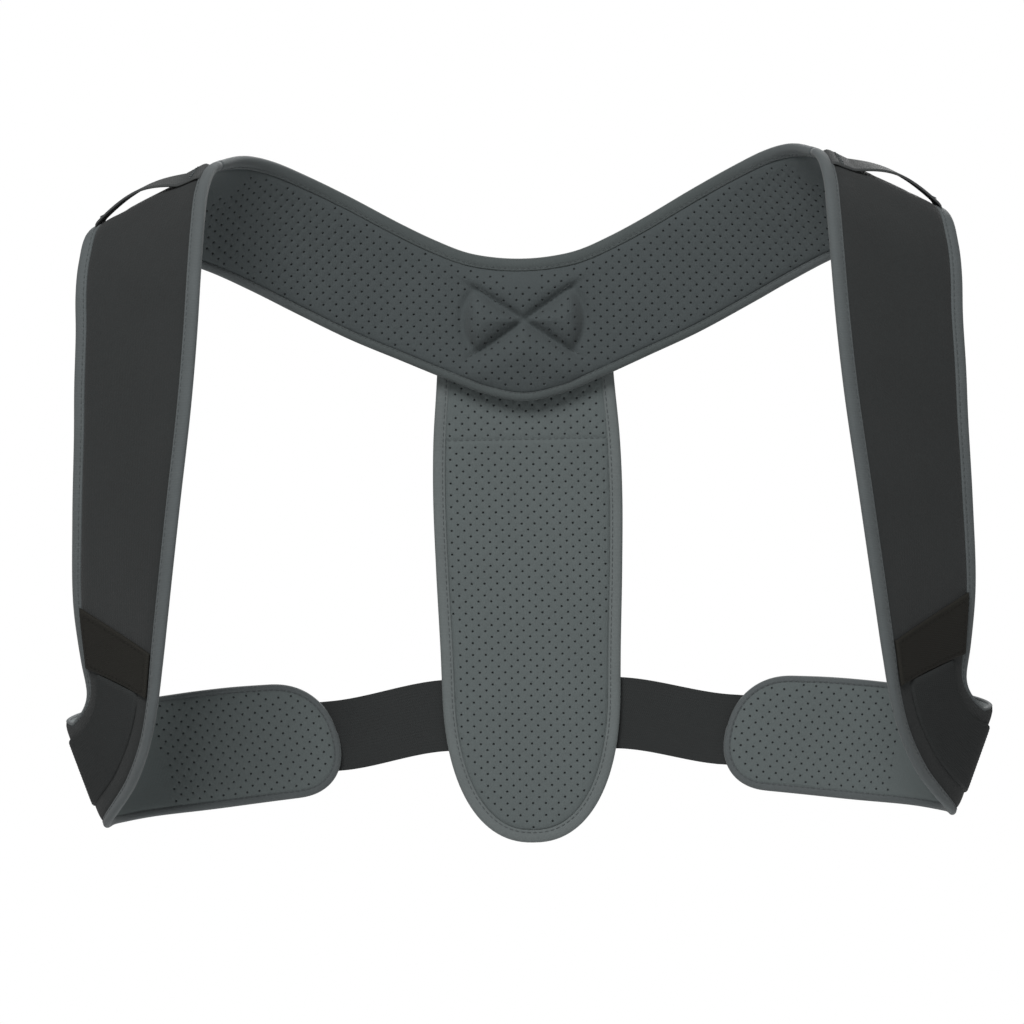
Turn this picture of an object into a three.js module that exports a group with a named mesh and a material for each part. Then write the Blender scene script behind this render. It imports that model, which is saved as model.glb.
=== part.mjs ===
// A clavicle and upper-back brace that draws the shoulders back, in the shape it has when worn.
// A padded yoke crosses the shoulder blades. From each of its ends a strap passes over the shoulder,
// down the chest and round under the arm to a padded tongue. An elastic band joins the two tongues
// behind a long spine pad that hangs from the yoke. Every padded piece is two plies, a perforated
// foam lining on the body side and a loop-fabric face outside, with a rolled binding round its edge.
// Millimetres, +Z up, the wearer faces -Y. Left and right are as seen from the front.
// The origin is the middle point between the shoulders, at the height of the straps' seat on them.
import * as THREE from "three";

// Overall reach of the harness
const HALF_SPAN = 235;
const HALF_DEPTH = 80;
const DROP = 325;

// Strap and its plies
const STRAP_WIDTH = 68;
const LINING_THICKNESS = 2.6;
const FACE_THICKNESS = 1.1;
const PLY_GAP = 0.3;
const BINDING_WIDTH = 7;
const BINDING_THICKNESS = 5;
const SEAM_GAP = 0.4;
const TONGUE_ROUND = 31;

// Spine pad
const PAD_LENGTH = 301;
const PAD_HALF_WIDTH = 52;
const PAD_TOP = 46;
const PAD_BOW = 7;
const PAD_FLAT = 20;
const PAD_FOOT_ROUND = 84;
const PAD_HEAD_ROUND = 24;
const PAD_CLEARANCE = 0.4;

// Elastic band, hook tabs and shoulder keepers
const BAND_WIDTH = 39;
const BAND_THICKNESS = 1.4;
const BAND_DROP = 277;
const BAND_CLEARANCE = 0.4;
const TAB_HEIGHT = 26;
const TAB_SKEW = 21;
const TAB_THICKNESS = 1.6;
const KEEPER_WIDTH = 16;
const KEEPER_THICKNESS = 1.3;
const KEEPER_RISE = 5;
const KEEPER_FORWARD = 10;
const KEEPER_FLAT = 0.2;

// Cross-stitched puff in the middle of the yoke
const PUFF_HALF_WIDTH = 27;
const PUFF_HALF_HEIGHT = 18;
const PUFF_DEPTH = 3.6;
const PUFF_MIDDLE = 62;

// Sections of one side, from the middle of the back, over the shoulder, down the chest and round under
// the arm to the tongue's tip. reach, back and down place the neck edge, as shares of HALF_SPAN,
// HALF_DEPTH and DROP. out, aft and fall are the direction from there to the arm edge, and width is
// the distance between the two edges, as a share of STRAP_WIDTH.
const HARNESS = [
  { reach: 0, back: 1, down: 0.088, out: 0, aft: 0.04, fall: 1, width: 1.14 },
  { reach: 0.064, back: 1, down: 0.085, out: 0.07, aft: 0.04, fall: 1, width: 1.1 },
  { reach: 0.128, back: 0.99, down: 0.076, out: 0.17, aft: 0.05, fall: 0.98, width: 1.03 },
  { reach: 0.2, back: 0.965, down: 0.055, out: 0.31, aft: 0.05, fall: 0.95, width: 1 },
  { reach: 0.276, back: 0.92, down: 0.028, out: 0.42, aft: 0.05, fall: 0.9, width: 1.01 },
  { reach: 0.387, back: 0.8, down: -0.015, out: 0.45, aft: 0.06, fall: 0.88, width: 1.02 },
  { reach: 0.472, back: 0.63, down: -0.044, out: 0.47, aft: 0.1, fall: 0.87, width: 1.01 },
  { reach: 0.543, back: 0.41, down: -0.063, out: 0.54, aft: 0.13, fall: 0.83, width: 1 },
  { reach: 0.59, back: 0.2, down: -0.065, out: 0.7, aft: 0.1, fall: 0.71, width: 1.03 },
  { reach: 0.622, back: 0, down: -0.052, out: 0.89, aft: 0, fall: 0.46, width: 1.12 },
  { reach: 0.645, back: -0.18, down: -0.038, out: 0.88, aft: 0, fall: 0.46, width: 1.14 },
  { reach: 0.656, back: -0.37, down: -0.001, out: 0.87, aft: 0.09, fall: 0.48, width: 1.15 },
  { reach: 0.658, back: -0.55, down: 0.055, out: 0.87, aft: 0.19, fall: 0.45, width: 1.15 },
  { reach: 0.661, back: -0.68, down: 0.127, out: 0.87, aft: 0.28, fall: 0.4, width: 1.13 },
  { reach: 0.668, back: -0.79, down: 0.234, out: 0.88, aft: 0.37, fall: 0.29, width: 1.1 },
  { reach: 0.68, back: -0.86, down: 0.34, out: 0.88, aft: 0.44, fall: 0.18, width: 1.06 },
  { reach: 0.704, back: -0.93, down: 0.489, out: 0.85, aft: 0.52, fall: 0.08, width: 1.02 },
  { reach: 0.729, back: -0.96, down: 0.638, out: 0.79, aft: 0.61, fall: -0.02, width: 1 },
  { reach: 0.745, back: -0.96, down: 0.728, out: 0.7, aft: 0.71, fall: -0.02, width: 1 },
  { reach: 0.757, back: -0.94, down: 0.79, out: 0.64, aft: 0.76, fall: -0.07, width: 1 },
  { reach: 0.78, back: -0.85, down: 0.856, out: 0.61, aft: 0.75, fall: -0.25, width: 1.02 },
  { reach: 0.822, back: -0.66, down: 0.92, out: 0.57, aft: 0.68, fall: -0.47, width: 1.03 },
  { reach: 0.9, back: -0.275, down: 0.99, out: 0.39, aft: 0.42, fall: -0.82, width: 1.01 },
  { reach: 0.902, back: 0.1, down: 0.996, out: 0.35, aft: 0.29, fall: -0.89, width: 0.98 },
  { reach: 0.848, back: 0.37, down: 0.995, out: 0.3, aft: 0.2, fall: -0.93, width: 0.98 },
  { reach: 0.736, back: 0.63, down: 0.992, out: 0.29, aft: 0.12, fall: -0.95, width: 0.98 },
  { reach: 0.613, back: 0.85, down: 0.987, out: 0.28, aft: 0.07, fall: -0.955, width: 0.98 },
  { reach: 0.51, back: 0.98, down: 0.982, out: 0.26, aft: 0.05, fall: -0.96, width: 0.96 },
  { reach: 0.412, back: 1.06, down: 0.976, out: 0.25, aft: 0.05, fall: -0.965, width: 0.94 },
];

// Section numbers where things happen
const CREST_SECTION = 9.5;
const TAB_SECTION = 18.02;

// How full the round ends are. 2 is an ellipse and larger values are squarer.
const FOOT_ROUNDNESS = 2.3;
const HEAD_ROUNDNESS = 3.6;
const TONGUE_ROUNDNESS = 2.3;

// Half width of the spine pad down its length, as shares of PAD_HALF_WIDTH and PAD_LENGTH
const PAD_SIDES = [
  { down: 0, width: 0.88 },
  { down: 0.16, width: 0.935 },
  { down: 0.27, width: 0.985 },
  { down: 0.37, width: 1 },
  { down: 0.5, width: 0.985 },
  { down: 0.67, width: 0.95 },
  { down: 1, width: 0.92 },
];

// Mesh steps
const STRAP_STEP = 14;
const TIGHT_STEP = 10;
const PUFF_STEP = 4.6;
const YOKE_COLUMNS = 6;
const STRAP_COLUMNS = 3;

const LINING_OUT = LINING_THICKNESS;
const FACE_IN = LINING_THICKNESS + PLY_GAP;
const STACK = FACE_IN + FACE_THICKNESS;
const BINDING_OUT = STACK / 2 + BINDING_THICKNESS / 2;
const BAND_IN = BINDING_OUT + BAND_CLEARANCE;

const fabric = (color, roughness) => new THREE.MeshStandardMaterial({ color, roughness, metalness: 0 });
const lining = fabric(0x535a5a, 0.85);
const loopFabric = fabric(0x323536, 0.95);
const bindingTape = fabric(0x5c6162, 0.8);
const elastic = fabric(0x2b2d2d, 0.9);
const hookTape = fabric(0x21211e, 0.9);

const vector = (x, y, z) => new THREE.Vector3(x, y, z);
const mix = THREE.MathUtils.lerp;
const smooth = THREE.MathUtils.smoothstep;
const superRound = (share, power) => Math.pow(Math.max(0, 1 - Math.pow(Math.max(0, share), power)), 1 / power);
const mirrored = (point) => vector(-point.x, point.y, point.z);

// The two edges of the harness, as smooth curves through the sections of both sides
function edgeCurves() {
  const neck = HARNESS.map((row) => vector(-row.reach * HALF_SPAN, row.back * HALF_DEPTH, -row.down * DROP));
  const arm = HARNESS.map((row, i) => {
    const direction = vector(-row.out, row.aft, -row.fall).normalize();
    return neck[i].clone().addScaledVector(direction, row.width * STRAP_WIDTH);
  });
  const bothSides = (points) => [...points.slice(1).reverse().map(mirrored), ...points];
  return [neck, arm].map((points) => new THREE.CatmullRomCurve3(bothSides(points), false, "centripetal"));
}
const [neckCurve, armCurve] = edgeCurves();
const LAST = HARNESS.length - 1;
const onCurve = (curve, section) => curve.getPoint((section + LAST) / (2 * LAST));

// Distance along the middle of the strap at each fine step of the sections
const TRAVEL = (() => {
  const perSection = 20;
  const table = [{ section: 0, along: 0 }];
  let last = null;
  for (let i = 0; i <= LAST * perSection; i++) {
    const section = i / perSection;
    const middle = onCurve(neckCurve, section).lerp(onCurve(armCurve, section), 0.5);
    if (last) table.push({ section, along: table[i - 1].along + middle.distanceTo(last) });
    last = middle;
  }
  return table;
})();

function lookUp(value, from, to) {
  let i = 1;
  while (i < TRAVEL.length - 1 && TRAVEL[i][from] < value) i++;
  const [a, b] = [TRAVEL[i - 1], TRAVEL[i]];
  return mix(a[to], b[to], (value - a[from]) / (b[from] - a[from]));
}
const alongAt = (section) => lookUp(section, "section", "along");
const sectionAt = (along) => lookUp(along, "along", "section");

const TIP = TRAVEL[TRAVEL.length - 1].along;
const CREST = alongAt(CREST_SECTION);
const TAB = alongAt(TAB_SECTION);

// A point of the body-side surface of the left half, across from 0 at the neck edge to 1 at the arm edge.
// A negative distance along gives the right half.
function surfacePoint(along, across) {
  const section = sectionAt(Math.abs(along));
  const point = onCurve(neckCurve, section).lerp(onCurve(armCurve, section), across);
  return along < 0 ? mirrored(point) : point;
}
const widthAt = (along) => surfacePoint(along, 0).distanceTo(surfacePoint(along, 1));

function surface(along, across) {
  const reach = 1;
  const low = Math.min(along, TIP - reach) - reach;
  const onward = surfacePoint(low + 2 * reach, across).sub(surfacePoint(low, across));
  const over = surfacePoint(along, 1).sub(surfacePoint(along, 0));
  const normal = over.cross(onward).normalize();
  return { point: surfacePoint(along, across), normal, onward: onward.normalize() };
}

// Share of the width that an inset from one edge takes up, larger where the edge runs aslant
function insetShare(along, edge, inset) {
  const over = surfacePoint(along, 1).sub(surfacePoint(along, 0));
  return inset / over.cross(surface(along, edge).onward).length();
}

// Limits across the strap at an inset from its outline, which closes in a round tongue at the tip
function limits(along, inset) {
  const past = along - (TIP - TONGUE_ROUND);
  const close = past > 0 ? superRound(past / (TONGUE_ROUND - inset), TONGUE_ROUNDNESS) : 1;
  const low = insetShare(along, 0, inset);
  const high = 1 - insetShare(along, 1, inset);
  return [mix(0.5, low, close), mix(0.5, high, close)];
}

// The seam between strap and tongue runs askew under the hook tab, higher at the arm edge
const tabSkew = (across) => TAB_SKEW * (0.5 - across);
const tabEdge = (across, side) => TAB + tabSkew(across) + side * TAB_HEIGHT * mix(0.38, 0.62, across);

function closedSolid(positions, triangles) {
  const at = (i) => vector(...positions.slice(3 * i, 3 * i + 3));
  let volume = 0;
  for (let i = 0; i < triangles.length; i += 3) {
    const [a, b, c] = [at(triangles[i]), at(triangles[i + 1]), at(triangles[i + 2])];
    volume += a.dot(b.cross(c));
  }
  if (volume < 0) triangles.reverse();
  const geometry = new THREE.BufferGeometry();
  geometry.setAttribute("position", new THREE.Float32BufferAttribute(positions, 3));
  geometry.setIndex(triangles);
  return geometry;
}

// A sheet with thickness: each grid place gives a surface point and normal, and the sheet lies
// between the offsets low and high along the normal, either of which may vary over it
function sheet(grid, low, high) {
  const rows = grid.length;
  const columns = grid[0].length;
  const positions = [];
  const triangles = [];
  for (const offset of [low, high])
    for (const row of grid)
      for (const place of row) {
        const distance = typeof offset === "function" ? offset(place) : offset;
        const point = place.point.clone().addScaledVector(place.normal, distance);
        positions.push(point.x, point.y, point.z);
      }
  const id = (i, j, side) => side * rows * columns + i * columns + j;
  const quad = (a, b, c, d) => triangles.push(a, b, c, a, c, d);
  for (let i = 0; i < rows - 1; i++)
    for (let j = 0; j < columns - 1; j++) {
      quad(id(i, j, 0), id(i, j + 1, 0), id(i + 1, j + 1, 0), id(i + 1, j, 0));
      quad(id(i, j, 1), id(i + 1, j, 1), id(i + 1, j + 1, 1), id(i, j + 1, 1));
    }
  for (let i = 0; i < rows - 1; i++) {
    quad(id(i, 0, 0), id(i + 1, 0, 0), id(i + 1, 0, 1), id(i, 0, 1));
    quad(id(i, columns - 1, 0), id(i, columns - 1, 1), id(i + 1, columns - 1, 1), id(i + 1, columns - 1, 0));
  }
  for (let j = 0; j < columns - 1; j++) {
    quad(id(0, j, 0), id(0, j, 1), id(0, j + 1, 1), id(0, j + 1, 0));
    quad(id(rows - 1, j, 0), id(rows - 1, j + 1, 0), id(rows - 1, j + 1, 1), id(rows - 1, j, 1));
  }
  return closedSolid(positions, triangles);
}

// A rolled binding: a flattened round bar swept along places that give point, normal and outward side
const BINDING_SECTION = [
  { side: -0.5, rise: 0 },
  { side: -0.26, rise: -0.5 },
  { side: 0.26, rise: -0.5 },
  { side: 0.5, rise: 0 },
  { side: 0.26, rise: 0.5 },
  { side: -0.26, rise: 0.5 },
];
function rolledBinding(places, isRing) {
  const count = BINDING_SECTION.length;
  const positions = [];
  const triangles = [];
  for (const { point, normal, outward } of places)
    for (const { side, rise } of BINDING_SECTION) {
      const corner = point.clone().addScaledVector(outward, side * BINDING_WIDTH);
      corner.addScaledVector(normal, STACK / 2 + rise * BINDING_THICKNESS);
      positions.push(corner.x, corner.y, corner.z);
    }
  const last = isRing ? places.length : places.length - 1;
  for (let i = 0; i < last; i++)
    for (let k = 0; k < count; k++) {
      const next = (i + 1) % places.length;
      const [a, b] = [i * count + k, i * count + ((k + 1) % count)];
      const [c, d] = [next * count + ((k + 1) % count), next * count + k];
      triangles.push(a, b, c, a, c, d);
    }
  if (!isRing)
    for (let k = 1; k < count - 1; k++) {
      const end = (places.length - 1) * count;
      triangles.push(0, k + 1, k, end, end + k, end + k + 1);
    }
  return closedSolid(positions, triangles);
}

function steps(from, to, size) {
  const count = Math.max(1, Math.round(Math.abs(to - from) / size));
  return Array.from({ length: count + 1 }, (_, i) => mix(from, to, i / count));
}
const shares = (count) => Array.from({ length: count + 1 }, (_, i) => i / count);

// Puff of the cross-stitched middle: two side triangles and a lower one that fades out downwards
function puff({ point }) {
  const a = Math.abs(point.x) / PUFF_HALF_WIDTH;
  const b = (-PUFF_MIDDLE - point.z) / PUFF_HALF_HEIGHT;
  const besideStitch = (inside, groove) => smooth(inside, 0, groove);
  const sides = besideStitch(a - Math.abs(b), 0.45) * smooth(1.35 - a, 0, 0.25);
  const foot = besideStitch(b - a, 0.6) * smooth(2.4 - b, 0, 1.5) * 0.7;
  const head = besideStitch(-b - a, 0.6) * smooth(1.9 + b, 0, 0.8) * 0.35;
  return -PUFF_DEPTH * Math.max(sides, foot, head);
}

function stripGrid(rows, columns, inset) {
  return rows.map((along) => {
    const [low, high] = limits(Math.abs(along), inset);
    return shares(columns).map((share) => surface(along, mix(low, high, share)));
  });
}

function yokeGrid(middleStep, columns) {
  const end = CREST - SEAM_GAP / 2;
  const middle = PUFF_HALF_WIDTH * 1.5;
  const half = [...steps(0, middle, middleStep), ...steps(middle, end, STRAP_STEP).slice(1)];
  const rows = [...half.slice(1).reverse().map((along) => -along), ...half];
  return stripGrid(rows, columns, BINDING_WIDTH + SEAM_GAP);
}

// Strap from the shoulder seam to the skewed seam under the hook tab
function strapGrid() {
  const inset = BINDING_WIDTH + SEAM_GAP;
  const from = CREST + SEAM_GAP / 2;
  return steps(0, 1, STRAP_STEP / (TAB - from)).map((share) =>
    shares(STRAP_COLUMNS).map((column) => {
      const [low, high] = limits(from, inset);
      const to = TAB + tabSkew(mix(low, high, column)) - SEAM_GAP / 2;
      const along = mix(from, to, share);
      const [near, far] = limits(along, inset);
      return surface(along, mix(near, far, column));
    }),
  );
}

// Tongue from the skewed seam to its round tip, with its last row just short of the tip
function tongueGrid() {
  const inset = BINDING_WIDTH + SEAM_GAP;
  const shoulder = TIP - TONGUE_ROUND;
  const stop = 0.97;
  const straight = steps(0, 1, TIGHT_STEP / (shoulder - TAB));
  const rows = straight.map((share) =>
    shares(STRAP_COLUMNS).map((column) => {
      const [low, high] = limits(TAB, inset);
      const from = TAB + tabSkew(mix(low, high, column)) + SEAM_GAP / 2;
      const along = mix(from, shoulder, share);
      const [near, far] = limits(along, inset);
      return surface(along, mix(near, far, column));
    }),
  );
  const turns = [0.25, 0.45, 0.62, 0.76, 0.88, stop];
  const cap = turns.map((turn) => shoulder + (TONGUE_ROUND - inset) * turn);
  return [...rows, ...stripGrid(cap, STRAP_COLUMNS, inset)];
}

// Places for a binding that follows one edge or the whole outline. The outward side is at the right
// hand of the way taken, seen from outside the body.
function outlinePlaces(route) {
  return route.map(([along, across], i) => {
    const before = surfacePoint(...route[Math.max(0, i - 1)]);
    const after = surfacePoint(...route[Math.min(route.length - 1, i + 1)]);
    const { point, normal } = surface(along, across);
    const outward = after.sub(before).cross(normal).normalize();
    return { point, normal, outward };
  });
}

const ridingLine = (along, edge) => Math.abs(edge - insetShare(Math.abs(along), edge, BINDING_WIDTH / 2));

function yokeBindingPlaces(edge) {
  const end = CREST - SEAM_GAP / 2;
  const half = steps(0, end, TIGHT_STEP);
  const rows = [...half.slice(1).reverse().map((along) => -along), ...half];
  const route = rows.map((along) => [along, ridingLine(along, edge)]);
  return outlinePlaces(edge === 1 ? route.reverse() : route);
}

// Round the strap and tongue: down the neck edge, round the tip and back up the arm edge
function strapBindingPlaces() {
  const inset = BINDING_WIDTH / 2;
  const shoulder = TIP - TONGUE_ROUND;
  const rows = steps(CREST + SEAM_GAP / 2, shoulder, TIGHT_STEP);
  const turns = [10, 22, 34, 46, 58, 70, 80].map(THREE.MathUtils.degToRad);
  const power = 2 / TONGUE_ROUNDNESS;
  const side = (edge) => {
    const straight = rows.map((along) => [along, ridingLine(along, edge)]);
    const quarter = turns.map((turn) => {
      const along = shoulder + (TONGUE_ROUND - inset) * Math.pow(Math.sin(turn), power);
      return [along, mix(0.5, ridingLine(along, edge), Math.pow(Math.cos(turn), power))];
    });
    return [...straight, ...quarter];
  };
  return outlinePlaces([...side(0), [TIP - inset, 0.5], ...side(1).reverse()]);
}

// Spine pad. It stands just behind the rearmost point of the yoke and its bindings.
const YOKE_REAR = Math.max(surfacePoint(0, 0).y, surfacePoint(0, 1).y) + BINDING_OUT;
const PAD_FRONT = YOKE_REAR + PAD_CLEARANCE - (STACK / 2 - BINDING_THICKNESS / 2);

function padPlace(x, depth) {
  const share = depth / PAD_LENGTH;
  const y = PAD_FRONT + PAD_BOW * Math.sin(Math.PI * share);
  const slope = ((PAD_BOW * Math.PI) / PAD_LENGTH) * Math.cos(Math.PI * share);
  return { point: vector(x, y, -PAD_TOP - depth), normal: vector(0, 1, slope).normalize() };
}
const padSides = new THREE.CubicInterpolant(
  PAD_SIDES.map((row) => row.down),
  PAD_SIDES.map((row) => row.width),
  1,
);
const padSide = (depth) => PAD_HALF_WIDTH * padSides.evaluate(depth / PAD_LENGTH)[0];

function padHalf(depth, inset) {
  const footPast = depth - (PAD_LENGTH - PAD_FOOT_ROUND);
  const headPast = PAD_HEAD_ROUND - depth;
  const foot = superRound(footPast / (PAD_FOOT_ROUND - inset), FOOT_ROUNDNESS);
  const head = superRound(headPast / (PAD_HEAD_ROUND - inset), HEAD_ROUNDNESS);
  return (padSide(depth) - inset) * foot * head;
}

function padGrid() {
  const inset = BINDING_WIDTH + SEAM_GAP;
  const footStart = PAD_LENGTH - PAD_FOOT_ROUND;
  const headRows = [0.97, 0.85, 0.6, 0.3].map((turn) => PAD_HEAD_ROUND - (PAD_HEAD_ROUND - inset) * turn);
  const middle = PAD_LENGTH / 2;
  const sideRows = [
    ...steps(PAD_HEAD_ROUND, middle - PAD_FLAT / 2, STRAP_STEP * 1.6),
    ...steps(middle + PAD_FLAT / 2, footStart, STRAP_STEP * 1.6),
  ];
  const footTurns = [0.2, 0.38, 0.54, 0.68, 0.8, 0.9, 0.96, 0.99];
  const footRows = footTurns.map((turn) => footStart + (PAD_FOOT_ROUND - inset) * turn);
  return [...headRows, ...sideRows, ...footRows].map((depth) => {
    const half = padHalf(depth, inset);
    return shares(STRAP_COLUMNS).map((share) => padPlace(mix(-half, half, share), depth));
  });
}

function padBindingPlaces() {
  const inset = BINDING_WIDTH / 2;
  const footStart = PAD_LENGTH - PAD_FOOT_ROUND;
  const corner = (start, length, roundness) => (degrees) => {
    const turn = THREE.MathUtils.degToRad(degrees);
    const depth = start + length * Math.pow(Math.sin(turn), 2 / roundness);
    return [(padSide(depth) - inset) * Math.pow(Math.cos(turn), 2 / roundness), depth];
  };
  const foot = [9, 18, 28, 38, 48, 58, 68, 79].map(corner(footStart, PAD_FOOT_ROUND - inset, FOOT_ROUNDNESS));
  const head = [82, 68, 54, 40, 26, 12].map(corner(PAD_HEAD_ROUND, inset - PAD_HEAD_ROUND, HEAD_ROUNDNESS));
  const side = steps(PAD_HEAD_ROUND, footStart, STRAP_STEP * 1.6).map((depth) => [padSide(depth) - inset, depth]);
  const half = [[0, inset], ...head, ...side, ...foot];
  const otherSide = half.slice(1).map(([x, depth]) => [-x, depth]);
  const ring = [...half, [0, PAD_LENGTH - inset], ...otherSide.reverse()];
  return ring.map(([x, depth], i) => {
    const before = padPlace(...ring[(i + ring.length - 1) % ring.length]).point;
    const after = padPlace(...ring[(i + 1) % ring.length]).point;
    const { point, normal } = padPlace(x, depth);
    return { point, normal, outward: after.sub(before).cross(normal).normalize() };
  });
}

// Elastic band, from the hook tab round under the arm on the outside of the tongue, across behind the
// spine pad and the same way back on the other side
function bandGrid() {
  const bandEdges = (along) => {
    const half = BAND_WIDTH / 2 / widthAt(along);
    return [0.5 - half, 0.5 + half];
  };
  const ridden = steps(0, 1, TIGHT_STEP / (TIP - TAB)).map((share) =>
    [0, 1].map((edge) => {
      const across = bandEdges(TAB)[edge];
      const along = mix(tabEdge(across, 1) + SEAM_GAP, TIP, share);
      return surface(along, bandEdges(along)[edge]);
    }),
  );
  const last = ridden[ridden.length - 1];
  const depth = BAND_DROP - PAD_TOP;
  const arrivalX = -padSide(depth) * 0.9;
  const middleRow = [1, -1].map((edge) => padPlace(0, depth + (edge * BAND_WIDTH) / 2));
  const arrivalRow = [1, -1].map((edge) => padPlace(arrivalX, depth + (edge * BAND_WIDTH) / 2));
  const free = steps(0, 1, STRAP_STEP / last[0].point.distanceTo(arrivalRow[0].point)).slice(1);
  const spans = [0, 1].map((edge) => {
    const [from, to] = [last[edge], arrivalRow[edge]];
    const pull = from.point.distanceTo(to.point) / 3;
    return new THREE.CubicBezierCurve3(
      from.point,
      from.point.clone().addScaledVector(from.onward, pull),
      to.point.clone().sub(vector(pull, 0, 0)),
      to.point,
    );
  });
  const crossing = free.map((share) =>
    [0, 1].map((edge) => ({
      point: spans[edge].getPoint(share),
      normal: last[edge].normal.clone().lerp(arrivalRow[edge].normal, share).normalize(),
    })),
  );
  const half = [...ridden, ...crossing];
  const otherHalf = half.map((row) =>
    row.map((place) => ({ point: mirrored(place.point), normal: mirrored(place.normal) })),
  );
  return [...half, middleRow, ...otherHalf.reverse()];
}

// Hook tab: a skewed strip of hook tape over the seam, from binding to binding
function tabGrid() {
  const inset = BINDING_WIDTH + SEAM_GAP;
  return shares(6).map((share) =>
    shares(STRAP_COLUMNS).map((column) => {
      const [low, high] = limits(TAB, inset);
      const across = mix(low, high, column);
      return surface(tabEdge(across, mix(-1, 1, share)), across);
    }),
  );
}

// Keeper: a narrow elastic arched over the strap where it crosses the shoulder, from beside the neck
// binding, where it lies a little to the front, to the top of the arm binding
function keeperGrid() {
  const nearest = (1.2 * BINDING_WIDTH) / widthAt(CREST);
  const farthest = 1 - nearest;
  return shares(12).map((share) => {
    const across = mix(nearest, farthest, share);
    const middle = surface(CREST + mix(KEEPER_FORWARD, 0, smooth(share, 0, 0.7)), across);
    const lifted = Math.max(0, (share - KEEPER_FLAT) / (1 - KEEPER_FLAT));
    const rise = STACK + PLY_GAP + KEEPER_RISE * Math.sin(Math.PI * lifted);
    const half = mix(0.5, 0.3, share) * KEEPER_WIDTH;
    return [-half, half].map((side) => ({
      point: middle.point.clone().addScaledVector(middle.normal, rise).addScaledVector(middle.onward, side),
      normal: middle.normal,
    }));
  });
}

const part = new THREE.Group();
part.name = "posture_corrector";

function add(name, geometry, material) {
  const mesh = new THREE.Mesh(geometry, material);
  mesh.name = name;
  part.add(mesh);
}

const turnedOver = (grid) =>
  grid.map((row) => row.map((place) => ({ point: mirrored(place.point), normal: mirrored(place.normal) })));

function addPair(name, grid, low, high, material) {
  add(`${name}_left`, sheet(grid, low, high), material);
  add(`${name}_right`, sheet(turnedOver(grid), low, high), material);
}

add("yoke_lining", sheet(yokeGrid(PUFF_STEP, YOKE_COLUMNS), puff, LINING_OUT), lining);
add("yoke_face", sheet(yokeGrid(STRAP_STEP, YOKE_COLUMNS), FACE_IN, STACK), loopFabric);
add("yoke_neck_binding", rolledBinding(yokeBindingPlaces(0)), bindingTape);
add("yoke_lower_binding", rolledBinding(yokeBindingPlaces(1)), bindingTape);

addPair("shoulder_strap_lining", strapGrid(), 0, LINING_OUT, lining);
addPair("shoulder_strap_face", strapGrid(), FACE_IN, STACK, loopFabric);
addPair("tongue_lining", tongueGrid(), 0, LINING_OUT, lining);
addPair("tongue_face", tongueGrid(), FACE_IN, STACK, loopFabric);
addPair("hook_tab", tabGrid(), STACK + PLY_GAP, STACK + PLY_GAP + TAB_THICKNESS, hookTape);
addPair("shoulder_keeper", keeperGrid(), 0, KEEPER_THICKNESS, elastic);

const strapEdge = strapBindingPlaces();
const otherStrapEdge = strapEdge.map(({ point, normal, outward }) => ({
  point: mirrored(point),
  normal: mirrored(normal),
  outward: mirrored(outward),
}));
add("strap_binding_left", rolledBinding(strapEdge), bindingTape);
add("strap_binding_right", rolledBinding(otherStrapEdge), bindingTape);

add("spine_pad_lining", sheet(padGrid(), 0, LINING_OUT), lining);
add("spine_pad_face", sheet(padGrid(), FACE_IN, STACK), loopFabric);
add("spine_pad_binding", rolledBinding(padBindingPlaces(), true), bindingTape);

add("waist_band", sheet(bandGrid(), BAND_IN, BAND_IN + BAND_THICKNESS), elastic);

export default part;
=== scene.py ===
"""Looks of a clavicle and upper-back brace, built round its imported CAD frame.

The cloth pieces repeat the ribbon of the CAD source: two smooth edge curves through a table of
sections, from the middle of the back over the shoulder, down the chest and round under the arm.
Each perforated lining is cut in the flat pattern of that ribbon and then laid on it.
Working lengths are in millimetres, and a mesh is scaled to metres when it is made.
"""

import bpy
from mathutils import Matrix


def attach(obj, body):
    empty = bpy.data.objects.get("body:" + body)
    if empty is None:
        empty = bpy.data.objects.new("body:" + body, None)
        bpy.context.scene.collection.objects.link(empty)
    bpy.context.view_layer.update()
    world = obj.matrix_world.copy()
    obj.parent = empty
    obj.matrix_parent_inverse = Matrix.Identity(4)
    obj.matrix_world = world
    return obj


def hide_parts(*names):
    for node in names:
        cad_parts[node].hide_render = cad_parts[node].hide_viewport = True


bl_info = {
    "name": "Shoulder Brace Builder",
    "version": (1, 0, 0),
    "blender": (4, 5, 0),
    "location": "3D View > Sidebar > Brace",
    "description": "Builds the padded cloth, bindings, elastics and stage of a shoulder brace",
    "category": "Add Mesh",
}

import bpy
import numpy as np
from bpy.props import FloatProperty, FloatVectorProperty, PointerProperty
from mathutils import Matrix, Vector, geometry

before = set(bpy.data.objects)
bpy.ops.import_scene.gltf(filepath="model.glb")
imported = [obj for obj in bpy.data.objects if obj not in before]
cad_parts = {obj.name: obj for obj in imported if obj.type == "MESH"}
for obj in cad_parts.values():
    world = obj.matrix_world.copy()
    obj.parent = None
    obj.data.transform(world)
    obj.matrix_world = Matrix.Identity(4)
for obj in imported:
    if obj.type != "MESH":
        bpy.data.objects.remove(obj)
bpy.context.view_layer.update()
BODY = "root"
MM = 0.001

# Overall reach of the harness
HALF_SPAN = 235
HALF_DEPTH = 80
DROP = 325

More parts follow.
